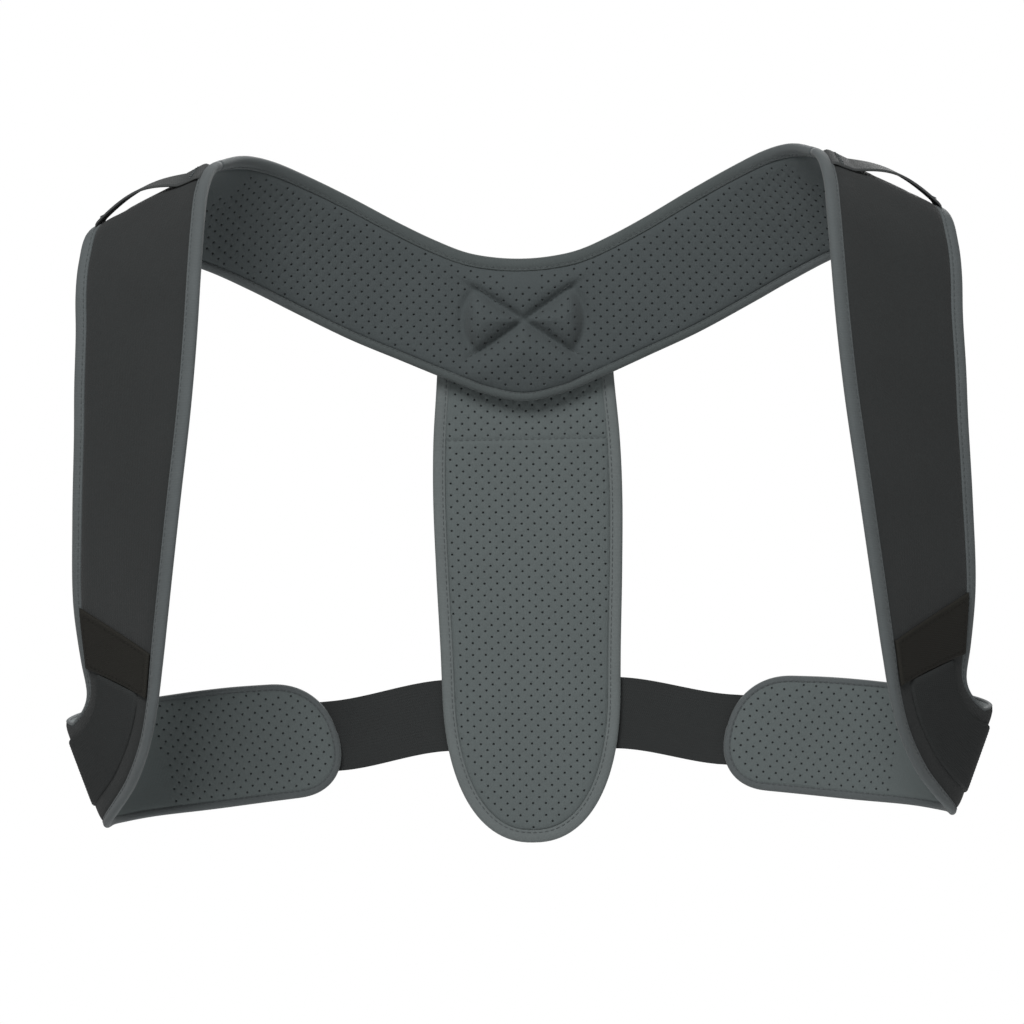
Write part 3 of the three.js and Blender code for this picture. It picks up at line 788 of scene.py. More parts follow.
def ripple(point, amount):
    """Slow unevenness of sewn cloth, the same on every run."""
    x, y, z = (point[:, k] for k in range(3))
    wide, high, slanted = RIPPLE_LENGTHS
    return amount * (
        np.sin(x / wide * 2 * np.pi + 0.6) * np.sin(z / high * 2 * np.pi + 1.1)
        + 0.6 * np.sin((x + y + z) / slanted * 2 * np.pi + 2.3)
    )


def puff_height(point):
    """Relief of the cross-stitched puff over the yoke's skin side."""
    a, b, to_stitch = puff_shares(point)
    outer = (puff_side(b) - a) * PUFF_HALF_WIDTH
    sides = dome((a - np.abs(b)) * to_stitch, 12) * dome(outer, 10) * 1.3
    foot = dome((b - a) * to_stitch, 14) * smooth(2.5 - b, 0, 1.7) * smooth(1.45 - a, 0, 0.6) * 1.2
    head = dome((-b - a) * to_stitch, 8) * smooth(1.7 + b, 0, 0.9) * 0.5
    crease = 0.3 * np.exp(-((outer / 3.2) ** 2)) * smooth(1.2 - np.abs(b), 0, 0.5)
    near = smooth(1.3 - np.maximum(a, np.abs(b)), 0, 0.35)
    stitch = 0.35 * np.exp(-((np.abs(a - np.abs(b)) * to_stitch / 1.9) ** 2)) * near
    return PUFF_DEPTH * (np.maximum.reduce([sides, foot, head]) - crease - stitch)


def puff_shares(point):
    """Distances from the cross's middle in its own half width and height, and the step to a stitch."""
    a = np.abs(point[:, 0]) / PUFF_HALF_WIDTH
    b = (-PUFF_MIDDLE - point[:, 2]) / PUFF_HALF_HEIGHT
    return a, b, PUFF_HALF_WIDTH * PUFF_HALF_HEIGHT / np.hypot(PUFF_HALF_WIDTH, PUFF_HALF_HEIGHT)


def puff_side(b):
    """Where a side puff ends, bowed out at half height."""
    return 1.22 - 0.26 * b**2


# Tape, thread and elastic


def outline_places(along, across):
    """Places of a tape along a route: points, normals, and the side that faces off the cloth.

    The route runs one step over at both ends, so that tapes meet square.
    """
    point, normal, _ = surface(along, across)
    normal = normal[1:-1]
    return point[1:-1], normal, unit(np.cross(normal, point[2:] - point[:-2]))


def tape_section(flatness):
    half = np.array(TAPE_HALF) * [1, flatness]
    return np.vstack([half, half[::-1] * [1, -1]])


def sweep_tape(draft, places, closed=False, flatness=1.0, inner=1.0, slim=1.0):
    """A rolled tape with a row of stitches on either side.

    inner and slim scale the inner half and the rest of the section, for each row or for all.
    """
    point, normal, outward = places
    section = tape_section(flatness)
    inner, slim = (np.broadcast_to(k, len(point))[:, None] for k in (inner, slim))
    side = section[:, 0] * np.where(section[:, 0] < 0, inner, slim)
    thick = 0.3 + 0.7 * slim
    rise = section[:, 1] * thick
    ring = point[:, None] + side[..., None] * outward[:, None]
    ring = ring + (STACK / 2 + rise)[..., None] * normal[:, None]
    rows, columns = len(point), len(section)
    length = running_length(point)
    round_it = running_length(section)
    flats = np.stack(np.broadcast_arrays(length[:, None], round_it[None]), -1)
    faces = grid_faces(rows, columns, closed, True)
    start = draft.add(ring, flats, faces[:, ::-1])
    if not closed:
        draft.join([list(start + np.arange(columns))])
        draft.join([list(start + (rows - 1) * columns + np.arange(columns)[::-1])])
    for way in (-1, 1):
        stitch_rise = way * STITCH_RISE * flatness * thick
        line = point + STITCH_SIDE * inner * outward + (STACK / 2 + stitch_rise) * normal
        line_normal = way * normal
        if closed:
            line = np.vstack([line, line[:1]])
            line_normal = np.vstack([line_normal, line_normal[:1]])
        sew(draft, line, line_normal, TAPE_STITCH, 1)


def sew(draft, line, normal, stitch, finish):
    """A row of stitches on a line, each a short thread whose ends go into the cloth."""
    length, gap, radius = stitch
    lengths = running_length(line)
    count = int((lengths[-1] + gap) // (length + gap))
    if count < 1:
        return
    spare = lengths[-1] - count * (length + gap) + gap
    starts = spare / 2 + np.arange(count) * (length + gap)
    at = starts[:, None] + length * THREAD_RINGS
    centre = at_length(lengths, line, at)
    up = unit(at_length(lengths, normal, at))
    ahead = unit(at_length(lengths, line, at + 0.2) - at_length(lengths, line, at - 0.2))
    side = np.cross(ahead, up)
    lift = radius * np.array([-1.1, 0.35, 0.6, 0.35, -1.1])
    thick = radius * np.array([0.35, 0.95, 1, 0.95, 0.35])
    angle = np.arange(THREAD_SIDES) * 2 * np.pi / THREAD_SIDES
    ring = np.cos(angle)[:, None] * side[:, :, None] + np.sin(angle)[:, None] * up[:, :, None]
    points = (centre + lift[:, None] * up)[:, :, None] + thick[:, None, None] * ring
    flats = np.stack(np.broadcast_arrays(at[:, :, None], angle[None, None] * radius), -1)
    one = grid_faces(len(THREAD_RINGS), THREAD_SIDES, False, True)[:, ::-1]
    size = len(THREAD_RINGS) * THREAD_SIDES
    base = np.arange(count)[:, None, None] * size
    start = draft.add(points, flats, NO_FACES, finish)
    draft.join((one[None] + base).reshape(-1, 4) + start, finish)
    near = np.arange(THREAD_SIDES)
    far = size - THREAD_SIDES + near[::-1]
    draft.join((near[None] + base[:, :, 0]) + start, finish)
    draft.join((far[None] + base[:, :, 0]) + start, finish)


def sweep_strip(draft, edge_points, edge_normals, low, profile, settle=0.0):
    """A flat strip between two edge lines. profile is a closed section of (across share, rise).

    settle is how far each row sinks towards what it lies on, its edges most. An end that has
    sunk all the way is thin.
    """
    across, rise = profile[:, 0], profile[:, 1]
    point = mix(edge_points[0][:, None], edge_points[1][:, None], across[:, None])
    normal = unit(mix(edge_normals[0][:, None], edge_normals[1][:, None], across[:, None]))
    middle = (edge_points[0] + edge_points[1]) / 2
    width = np.linalg.norm(edge_points[1] - edge_points[0], axis=1).mean()
    edge = 1 - pillow(np.minimum(across, 1 - across) * width, 6)
    drop = np.broadcast_to(settle, len(middle))[:, None] * (1 + 0.9 * edge)
    thin = 1 - 0.6 * smooth(drop, 0.6, 0.9)
    ring = point + (low + rise * thin - drop)[..., None] * normal
    rows, columns = ring.shape[:2]
    flats = np.stack(np.broadcast_arrays(running_length(middle)[:, None], across[None] * width), -1)
    faces = grid_faces(rows, columns, False, True)
    start = draft.add(ring, flats, faces)
    draft.join([list(start + np.arange(columns)[::-1])])
    draft.join([list(start + (rows - 1) * columns + np.arange(columns))])


def ribbed_profile(width, thickness, ribs, relief, edge=0.8):
    """Closed section of a woven elastic with ribs on both faces, flat below and thin at the edges."""
    share = np.linspace(0, 1, ribs * 4 + 1)
    round_off = pillow(np.minimum(share, 1 - share) * width, edge)
    groove = relief * 0.5 * (1 - np.cos(share * ribs * 2 * np.pi)) * round_off
    top = np.stack([share, thickness * mix(0.35, 1, round_off) - groove], -1)
    bottom = np.stack([share, groove], -1)
    return np.vstack([top, bottom[::-1]])


# Materials


class Reading:
    """A node's output. Python's operators on it add the Math nodes they stand for."""

    def __init__(self, shader, socket):
        self.shader, self.socket = shader, socket

    def math(self, operation, *values):
        inputs = {i: v for i, v in enumerate(values)}
        return self.shader.add("ShaderNodeMath", {"operation": operation}, inputs)

    def __add__(self, other):
        return self.math("ADD", self, other)

    __radd__ = __add__

    def __sub__(self, other):
        return self.math("SUBTRACT", self, other)

    def __rsub__(self, other):
        return self.math("SUBTRACT", other, self)

    def __mul__(self, other):
        return self.math("MULTIPLY", self, other)

    __rmul__ = __mul__

    def __neg__(self):
        return self * -1

    def sine(self):
        return self.math("SINE", self)

    def size(self):
        return self.math("ABSOLUTE", self)

    def larger(self, other):
        return self.math("MAXIMUM", self, other)

    def between(self, low, high):
        inputs = {"Value": self, "From Min": low, "From Max": high}
        return self.shader.add("ShaderNodeMapRange", {"interpolation_type": "SMOOTHSTEP"}, inputs)


class Shader:
    """A cloth material: one Principled surface and the nodes that feed it."""

    def __init__(self, name, **constants):
        self.material = bpy.data.materials.new(name)
        self.material.use_nodes = True
        self.tree = self.material.node_tree
        self.surface = self.tree.nodes["Principled BSDF"]
        for socket, value in constants.items():
            self.surface.inputs[socket.replace("_", " ")].default_value = value

    def add(self, kind, settings=None, inputs=None, output=0):
        node = self.tree.nodes.new(kind)
        for key, value in (settings or {}).items():
            setattr(node, key, value)
        for key, value in (inputs or {}).items():
            self.feed(node.inputs[key], value)
        return Reading(self, node.outputs[output])

    def feed(self, socket, value):
        if isinstance(value, Reading):
            self.tree.links.new(value.socket, socket)
        else:
            socket.default_value = value

    def set(self, socket, value):
        self.feed(self.surface.inputs[socket], value)

    def axes(self, vector):
        outputs = self.add("ShaderNodeSeparateXYZ", None, {0: vector}).socket.node.outputs
        return [Reading(self, socket) for socket in outputs]

    def cloth_axes(self):
        """Distance along and across the cloth, in metres."""
        return self.axes(self.add("ShaderNodeUVMap", {"uv_map": CLOTH_MAP}))[:2]

    def object_place(self):
        return self.add("ShaderNodeTexCoord", output="Object")

    def noise(self, size, detail=3, roughness=0.55):
        """Noise with features about size metres wide, from 0 to 1, fixed to the object's shape."""
        scale = {0: self.object_place(), 1: (1 / size,) * 3}
        sized = self.add("ShaderNodeVectorMath", {"operation": "MULTIPLY"}, scale)
        inputs = {"Vector": sized, "Scale": 1.0, "Detail": detail, "Roughness": roughness}
        return self.add("ShaderNodeTexNoise", None, inputs)

    def yoke_shade_shares(self):
        """Two shares from 0 at the middle of the yoke: to 1 outward or down, and to 1 downward. Both
        fade out painted shade.
        """
        x, _, z = self.axes(self.object_place())
        out, down = x.size(), -z
        return out.between(0.09, 0.16).larger(down.between(0.16, 0.26)), down.between(0.13, 0.25)

    def blend(self, share, start, end):
        """The colour that goes from start to end with the share."""
        return self.add("ShaderNodeMix", {"data_type": "RGBA"}, {"Factor": share, 6: start, 7: end}, 2)

    def shades(self, colour, share, low, high):
        """The colour made darker to low times and lighter to high times itself by the share."""
        dark, light = ([min(1, c * k) for c in colour] + [1] for k in (low, high))
        return self.blend(share, dark, light)

    def bump(self, height, distance, strength):
        inputs = {"Height": height, "Distance": distance, "Strength": strength}
        self.set("Normal", self.add("ShaderNodeBump", None, inputs))


def waves(axis, pitch):
    """Even ribs of that pitch in metres, from -1 to 1."""
    return (axis * (2 * np.pi / pitch)).sine()


def knit_material(name, colour, unshaded_colour, roughness, **constants):
    """Fine jersey: wales and courses in relief, with a heathered colour. Painted shade darkens it high
    up and fades out downward.
    """
    shader = Shader(name, **constants)
    along, across = shader.cloth_axes()
    loops = waves(along, COURSE_PITCH) * 0.5 + waves(across, WALE_PITCH) * 0.5
    fluff = shader.noise(0.0006, 2)
    cloud = shader.noise(0.045, 2)
    share = (cloud - 0.5) * 0.6 + (fluff - 0.5) * 0.9 + loops * 0.12 + 0.5
    upper, lower = (shader.shades(c, share, 0.9, 1.1) for c in (colour, unshaded_colour))
    # Painted shade: the darker top colour over the yoke fades to the unshaded colour downward.
    shader.set("Base Color", shader.blend(shader.yoke_shade_shares()[1], upper, lower))
    shader.set("Roughness", (fluff - 0.5) * 0.12 + roughness)
    shader.bump(loops * 0.5 + fluff * 1.1, 0.00012, 0.8)
    return shader.material


def pile_material(name, colour, roughness, **constants):
    """Brushed loop pile: short fibres in tufts over faint rows, with a soft sheen."""
    shader = Shader(name, **constants)
    _, across = shader.cloth_axes()
    fibres = shader.noise(0.0007, 4, 0.65)
    tufts = shader.noise(0.0035, 3)
    cloud = shader.noise(0.06, 2)
    share = (fibres - 0.5) * 1.1 + (tufts - 0.5) * 0.5 + (cloud - 0.5) * 0.5 + 0.5
    shader.set("Base Color", shader.shades(colour, share, 0.74, 1.26))
    shader.set("Roughness", (tufts - 0.5) * 0.15 + roughness)
    shader.bump(fibres * 1.2 + tufts * 0.6 + waves(across, 0.0016) * 0.06, 0.0003, 0.85)
    return shader.material


def tape_material(name, colour, unshaded_tape_colour, roughness, **constants):
    """Woven tape with fine ribs across its run, and painted shade that darkens it over the yoke and
    fades out away from it.
    """
    shader = Shader(name, **constants)
    along, _ = shader.cloth_axes()
    ribs = waves(along, TAPE_RIB_PITCH)
    threads = shader.noise(0.0009, 3)
    worn = shader.noise(0.02, 3)
    share = ribs * 0.12 + (threads - 0.5) * 0.5 + (worn - 0.5) * 0.7 + 0.5
    inner, outer = (shader.shades(c, share, 0.85, 1.15) for c in (colour, unshaded_tape_colour))
    # Painted shade: the darker colour over the yoke fades to the unshaded colour outward and downward.
    shader.set("Base Color", shader.blend(shader.yoke_shade_shares()[0], inner, outer))
    shader.set("Roughness", (threads - 0.5) * 0.1 + roughness)
    shader.bump(ribs * 0.35 + threads * 0.6, 0.00016, 0.7)
    return shader.material


def elastic_material(name, colour, roughness, **constants):
    """Woven elastic: picks across the band between its lengthwise ribs."""
    shader = Shader(name, **constants)
    along, across = shader.cloth_axes()
    picks = waves(along, 0.0011) * waves(across, 0.0026)
    threads = shader.noise(0.0008, 3)
    cloud = shader.noise(0.03, 2)
    share = picks * 0.2 + (threads - 0.5) * 0.6 + (cloud - 0.5) * 0.4 + 0.5
    shader.set("Base Color", shader.shades(colour, share, 0.78, 1.22))
    shader.set("Roughness", (threads - 0.5) * 0.12 + roughness)
    shader.bump(picks * 0.5 + threads * 0.5, 0.00015, 0.8)
    return shader.material


def thread_material(name, colour, **constants):
    """Twisted sewing thread."""
    shader = Shader(name, **constants)
    along, across = shader.cloth_axes()
    twist = waves(along + across * 2.2, 0.0006)
    shader.set("Base Color", shader.shades(colour, twist * 0.5 + 0.5, 0.75, 1.2))
    shader.bump(twist, 0.00008, 0.7)
    return shader.material


def foam_material(name, colour, **constants):
    """Open foam inside the perforations, its own dark tone deepened as painted shade in the holes."""
    shader = Shader(name, **constants)
    cells = shader.noise(0.0004, 2)
    shader.set("Base Color", shader.shades(colour, cells, 0.7, 1.2))
    shader.set("Roughness", (cells - 0.5) * 0.1 + 0.93)
    shader.bump(cells, 0.0001, 0.6)
    return shader.material


def floor_material():
    """Matt pale floor with a hint of cloudiness."""
    shader = Shader("studio_floor", Roughness=0.6)
    cloud = shader.noise(0.4, 2)
    shader.set("Base Color", shader.shades((0.9, 0.9, 0.9), cloud, 0.985, 1.015))
    return shader.material


def linear(red, green, blue):
    """Linear colour from display values of 0 to 255."""
    c = np.array([red, green, blue]) / 255
    return tuple(float(v) for v in np.where(c <= 0.04045, c / 12.92, ((c + 0.055) / 1.055) ** 2.4))


MATERIALS = {}


def finishes(scene):
    """The finishes of the brace, made once for each run."""
    if MATERIALS:
        return MATERIALS
    c = scene.brace_colours
    cloth = {"Specular_IOR_Level": 0.25, "Sheen_Roughness": 0.5}
    matt = {"Roughness": 0.8, "Specular_IOR_Level": 0.2}
    satin = {"Roughness": 0.7, "Specular_IOR_Level": 0.3}
    sheen = {"Sheen_Weight": 0.1, **cloth}
    MATERIALS.update(
        lining=knit_material("pad_lining", c.lining, c.lining, 0.86, **sheen),
        # The harness lining carries painted shade: darker over the yoke, fading to the pad's lining
        # lower down.
        harness_lining=knit_material("harness_lining", c.yoke_lining, c.lining, 0.86, **sheen),
        # The foam colour is partly painted shade: it darkens the walls and floors of the holes.
        foam=foam_material("perforation_foam", c.foam, Specular_IOR_Level=0.1),
        pile=pile_material("loop_pile", c.loop_fabric, 0.93, **sheen),
        tongue_pile=pile_material("tongue_loop_pile", c.elastic, 0.93, Sheen_Weight=0.05, **cloth),
        # The tape carries painted shade: darker over the yoke, lighter at the shoulders and below.
        tape=tape_material("binding_tape", c.shaded_yoke_binding, c.binding, 0.8, Sheen_Weight=0.12, **cloth),
        pad_tape=tape_material("pad_binding_tape", c.pad_binding, c.pad_binding, 0.8, **sheen),
        thread=thread_material("sewing_thread", c.thread, **satin),
        hook_thread=thread_material("hook_strip_thread", c.hook_thread, **matt),
        elastic=elastic_material("waist_elastic_weave", c.elastic, 0.85, **cloth),
        hook=elastic_material("hook_strip_weave", c.hook_strip, 0.8, **cloth),
        loop=elastic_material("shoulder_loop_weave", c.shoulder_loop, 0.75, **cloth),
    )
    return MATERIALS


# Properties


def length(name, description, default_mm):
    return FloatProperty(
        name=name,
        description=description,
        default=default_mm * MM,
        min=0.0,
        unit="LENGTH",
        subtype="DISTANCE",
        precision=5,
    )


def colour(name, description, default):
    return FloatVectorProperty(
        name=name, description=description, default=default, size=3, min=0, max=1, subtype="COLOR"
    )


class BraceCloth(bpy.types.PropertyGroup):
    """Sizes of the cloth that a user would change"""

    hole_pitch: length("Hole pitch", "Distance between holes in a row", 7.0)
    hole_row_gap: length("Row gap", "Distance between staggered rows of holes", 3.25)
    hole_diameter: length("Hole diameter", "Width of one perforation", 1.2)
    hole_depth: length("Hole depth", "Depth of one perforation", 1.0)
    crown: length("Crown", "How far the padding stands proud between its bindings", 0.8)
    puff: length("Puff", "Extra height of the cross-stitched puff over the CAD form", 2.2)


class BraceColours(bpy.types.PropertyGroup):
    """Colours of the cloths"""

    lining: colour("Lining", "Lining of the spine pad and low on the harness", linear(90, 97, 97))
    # Painted shade: the lining made darker where it lies high on the harness.
    yoke_lining: colour("Yoke lining", "Lining high on the harness", linear(70, 76, 77))
    # Partly painted shade: the foam's dark tone is deepened so that the holes read dark.
    foam: colour("Foam", "Foam seen inside the perforations", linear(66, 70, 71))
    loop_fabric: colour("Loop fabric", "Brushed face of yoke, straps and pad", linear(43, 45, 45))
    binding: colour("Binding", "Edge tape out at the shoulders and below", linear(83, 88, 89))
    # Painted shade: the tape made darker in the middle of the yoke.
    shaded_yoke_binding: colour("Yoke binding", "Edge tape in the middle of the yoke", linear(74, 80, 80))
    pad_binding: colour("Pad binding", "Flat edge tape of the spine pad", linear(100, 106, 106))
    thread: colour("Thread", "Sewing thread", linear(84, 89, 90))
    elastic: colour("Elastic", "Waist band and outer face of the tongues", linear(43, 45, 45))
    hook_strip: colour("Hook strip", "Strip that holds the waist band's end", linear(33, 32, 28))
    hook_thread: colour("Hook thread", "Stitches round the hook strips", linear(36, 35, 32))
    shoulder_loop: colour("Shoulder loop", "Thin elastic over the shoulder", linear(62, 64, 64))


# Operators

SIDES = (("left", False), ("right", True))


class BraceOperator:
    """What the brace's operators share."""

    bl_options = {"REGISTER", "UNDO"}

    def dress(self, obj, slot, *nodes):
        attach(obj, BODY)
        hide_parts(*nodes)

    def padded_lining(self, draft, name, materials, node, mirror=False):
        padding = draft.build(name, materials, mirror)
        self.dress(padding, "lining", node)

    def outer_face(self, draft, name, material, node, cloth, padding, mirror=False):
        outer = draft.build(name, [material], mirror)
        self.dress(outer, "loop_fabric", node)
        cloth.size()
        float(cloth.area()) * MM * MM

    def mirrored_pair(self, made, cloth, skin, holes, hole, piece, node, pile):
        """The padding and the outer face of a strap or a tongue, on the left and on the right."""
        lining, face = Draft(), Draft()
        cut_cloth(lining, cloth, skin, LINING_THICKNESS, True, holes, hole)
        cut_cloth(face, cloth, face_height, FACE_IN, False, NO_HOLES, hole)
        cloths = [made["harness_lining"], made["foam"]]
        for side, mirror in SIDES:
            name = f"{piece}_padding_{side}"
            self.padded_lining(lining, name, cloths, f"{node}_lining_{side}", mirror)
            outer = f"{piece}_outer_{side}"
            self.outer_face(face, outer, made[pile], f"{node}_face_{side}", cloth, name, mirror)


def lining_height(crown, sink=1.0):
    """Offsets of a lining with that crown, sunk by sink where it goes under its tape."""

    def height(point, rim, seam):
        return -ease(rim, seam, sink, crown, 0.35) + 0.15 * np.clip(ripple(point, 0.6), -1, 1)

    return height


def face_height(point, rim, seam):
    """Offsets of the loop-fabric face."""
    return STACK + ease(rim, seam, 0.75, 0.45, 0.3) + np.clip(ripple(point, 0.09), -0.15, 0.15)


class BRACE_OT_yoke(BraceOperator, bpy.types.Operator):
    """Perforated yoke with its cross-stitched puff, loop-fabric back and two bindings"""

    bl_idname = "mesh.brace_yoke"
    bl_label = "Yoke"

    def execute(self, context):
        made = finishes(context.scene)
        sizes = context.scene.brace_cloth
        hole = Hole(sizes)
        crown = sizes.crown / MM
        extra_puff = 1 + sizes.puff / MM / PUFF_DEPTH
        pattern = YokePattern(CREST + 2)
        cloth = ribbon_cloth(pattern, (-CREST, -CREST), (CREST, CREST))

        def skin(point, rim, seam):
            puffed = puff_height(point) * extra_puff * pillow(rim, 9)
            return lining_height(crown)(point, rim, seam) - puffed

        holes = hole_places(cloth, hole, 2.5, 2.5)
        place, _ = cloth.place(holes)
        along, across = pattern.to_ribbon(holes)
        plain_end, plain_slant = 8, 45
        near_shoulder = np.abs(along) > CREST - plain_end - plain_slant * (1 - across)
        holes = holes[self.open_for_holes(place) & ~near_shoulder]
        fine = self.fine_points(cloth)
        draft = Draft()
        cut_cloth(draft, cloth, skin, LINING_THICKNESS, True, holes, hole, extra=fine)
        cloths = [made["harness_lining"], made["foam"]]
        self.padded_lining(draft, "yoke_padding", cloths, "yoke_lining")

        draft = Draft()
        cut_cloth(draft, cloth, face_height, FACE_IN, False, NO_HOLES, hole)
        self.outer_face(draft, "yoke_back", made["pile"], "yoke_face", cloth, "yoke_padding")

        for edge, name, node in (
            (0, "yoke_neck_edge", "yoke_neck_binding"),
            (1, "yoke_lower_edge", "yoke_lower_binding"),
        ):
            along = steps(-CREST, CREST, TAPE_STEP)
            along = np.concatenate([[along[0] - TAPE_STEP], along, [along[-1] + TAPE_STEP]])
            if edge == 1:
                along = along[::-1]
            across = riding_line(along, edge, BINDING_WIDTH / 2)
            draft = Draft()
            reach = tape_reach(along[1:-1], edge)
            sweep_tape(draft, outline_places(along, across), inner=reach)
            tape = draft.build(name, [made["tape"], made["thread"]])
            self.dress(tape, "binding", node)

        self.cross_stitching(made, pattern, skin, cloth)
        return {"FINISHED"}

    @staticmethod
    def open_for_holes(place):
        """Holes leave out the stitched cross, its side creases and the plain patch above it."""
        a, b, to_stitch = puff_shares(place)
        on_cross = (np.abs(a - np.abs(b)) * to_stitch < 1.6) & (a < 1.12)
        on_crease = (np.abs(a - puff_side(b)) * PUFF_HALF_WIDTH < 1.6) & (np.abs(b) < 1.0)
        on_patch = (np.abs(place[:, 0]) < 9.5) & (place[:, 2] > -43)
        return ~(on_cross | on_crease | on_patch)

    @staticmethod
    def fine_points(cloth):
        """Close support points where the puff is."""
        low, high = cloth.outline.min(0), cloth.outline.max(0)
        reach = 42
        points = lattice((-reach, low[1]), (reach, high[1]), *PUFF_STEP)
        return points[cloth.seam(points) > 3]

    def cross_stitching(self, made, pattern, skin, cloth):
        draft = Draft()
        for x_way in (-1, 1):
            for z_way in (-1, 1):
                t = np.linspace(0.06, 1.08, 30)
                x = x_way * t * PUFF_HALF_WIDTH
                z = -PUFF_MIDDLE + z_way * t * PUFF_HALF_HEIGHT
                along = -x
                neck, arm = surface_point(along, 0.0), surface_point(along, 1.0)
                across = (z - neck[:, 2]) / (arm[:, 2] - neck[:, 2])
                point, normal, _ = surface(along, across)
                flat = pattern.to_flat(along, across)
                offset = skin(point, cloth.rim(flat), cloth.seam(flat))
                sew(draft, point + normal * offset[:, None], -normal, CROSS_STITCH, 0)
        stitching = draft.build("yoke_cross_stitching", [made["thread"]])
        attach(stitching, BODY)


class BRACE_OT_straps(BraceOperator, bpy.types.Operator):
    """Two shoulder straps, from the seam over the shoulder to the seam under the hook strip"""

    bl_idname = "mesh.brace_straps"
    bl_label = "Shoulder Straps"

    def execute(self, context):
        made = finishes(context.scene)
        sizes = context.scene.brace_cloth
        hole = Hole(sizes)
        pattern = Pattern(CREST - 12, TAB + 30, turn_at=(CREST + TAB) / 2)
        cloth = ribbon_cloth(pattern, (CREST, CREST), UNDER_TAB)
        holes = hole_places(cloth, hole, 2.8, 2.5)
        skin = lining_height(sizes.crown / MM)
        self.mirrored_pair(made, cloth, skin, holes, hole, "strap", "shoulder_strap", "pile")
        return {"FINISHED"}


class BRACE_OT_tongues(BraceOperator, bpy.types.Operator):
    """Two padded tongues that turn round under the arms to their round tips"""

    bl_idname = "mesh.brace_tongues"
    bl_label = "Tongues"

    def execute(self, context):
        made = finishes(context.scene)
        sizes = context.scene.brace_cloth
        hole = Hole(sizes)
        pattern = Pattern(TAB - 30, TIP, turn_at=mix(TAB, TIP, 0.75))
        cloth = tongue_cloth(pattern, UNDER_TAB)
        holes = hole_places(cloth, hole, 1.9, 2.5)
        holes = holes[pattern.to_ribbon(holes)[0] > along_at(HOLES_FROM_SECTION)]
        skin = lining_height(sizes.crown / MM * 0.6, 0.4)
        self.mirrored_pair(made, cloth, skin, holes, hole, "tongue", "tongue", "tongue_pile")
        return {"FINISHED"}


class BRACE_OT_strap_edges(BraceOperator, bpy.types.Operator):
    """Rolled tape down each strap's neck edge, round the tongue's tip and back up its arm edge"""

    bl_idname = "mesh.brace_strap_edges"
    bl_label = "Strap Edges"

    def execute(self, context):
        made = finishes(context.scene)
        inset = BINDING_WIDTH / 2
        rows = np.concatenate([[CREST - TAPE_STEP], steps(CREST, SHOULDER_OF_TIP, TAPE_STEP)])

        def side(edge):
            end, quarter = tip_places(edge, inset, np.arange(3, 88, 3.0))
            along = np.concatenate([rows, end])
            return along, np.concatenate([riding_line(rows, edge, inset), quarter])

        (low_along, low_across), (high_along, high_across) = side(0), side(1)
        along = np.concatenate([low_along, [TIP - inset], high_along[::-1]])
        across = np.concatenate([low_across, [0.5], high_across[::-1]])
        edge = (across[1:-1] > 0.5) * 1
        inner, slim = tape_reach(along[1:-1], edge), tape_slim(along[1:-1], edge)
        draft = Draft()
        sweep_tape(draft, outline_places(along, across), inner=inner, slim=slim)
        for side_name, mirror in SIDES:
            tape = draft.build(f"strap_edge_{side_name}", [made["tape"], made["thread"]], mirror)
            self.dress(tape, "binding", f"strap_binding_{side_name}")
        return {"FINISHED"}


class BRACE_OT_spine_pad(BraceOperator, bpy.types.Operator):
    """Long spine pad with its cross seam, back cloth and flat binding"""

    bl_idname = "mesh.brace_spine_pad"
    bl_label = "Spine Pad"

    def execute(self, context):
        made = finishes(context.scene)
        sizes = context.scene.brace_cloth
        hole = Hole(sizes)
        cloth = pad_cloth()
        crown = sizes.crown / MM

        def past_seam(point):
            return -point[:, 2] - PAD_TOP - PAD_SEAM_DEPTH

        def skin(point, rim, seam):
            below = smooth(past_seam(point), -2, 2)
            across_seam = np.exp(-((past_seam(point) / 1.1) ** 2))
            rolled = -ease(rim, seam, mix(0.4, 1.1, below), crown * mix(0.6, 1, below), 0)
            return rolled + 0.75 * across_seam + 0.15 * np.clip(ripple(point, 0.6), -1, 1)

        holes = hole_places(cloth, hole, 1.9, 0)
        holes = holes[np.abs(past_seam(cloth.place(holes)[0])) > 1.9]
        half = PAD_HALF_WIDTH - BINDING_WIDTH
        rows = -PAD_SEAM_DEPTH + np.array([-3.0, -2.0, -1.2, -0.6, 0, 0.6, 1.2, 2.0, 3.0])
        columns = np.arange(-half, half, 2.0)
        fine = np.stack(np.meshgrid(columns, rows), -1).reshape(-1, 2)
        draft = Draft()
        cut_cloth(draft, cloth, skin, LINING_THICKNESS, True, holes, hole, extra=fine)
        self.seam_stitches(draft, cloth, skin)
        cloths = [made["lining"], made["foam"], made["thread"]]
        self.padded_lining(draft, "spine_padding", cloths, "spine_pad_lining")

        draft = Draft()
        cut_cloth(draft, cloth, face_height, FACE_IN, False, NO_HOLES, hole)
        self.outer_face(draft, "spine_back", made["pile"], "spine_pad_face", cloth, "spine_padding")

        ring = pad_ring(BINDING_WIDTH / 2, TAPE_STEP)[::-1]
        point, normal = pad_place(ring[:, 0], ring[:, 1])
        tangent = np.roll(point, -1, axis=0) - np.roll(point, 1, axis=0)
        outward = unit(np.cross(normal, tangent))
        draft = Draft()
        sweep_tape(draft, (point, normal, outward), closed=True, flatness=0.94)
        tape = draft.build("spine_edge", [made["pad_tape"], made["thread"]])
        self.dress(tape, "binding", "spine_pad_binding")
        return {"FINISHED"}

    @staticmethod
    def seam_stitches(draft, cloth, skin):
        half = float(pad_side(PAD_SEAM_DEPTH)) - BINDING_WIDTH - 0.5
        x = np.linspace(-half, half, 60)
        flat = np.stack([-x, np.full_like(x, -PAD_SEAM_DEPTH)], -1)
        point, normal = cloth.place(flat)
        offset = skin(point, cloth.rim(flat), cloth.seam(flat))
        sew(draft, point + normal * offset[:, None], -normal, TAPE_STITCH, 2)


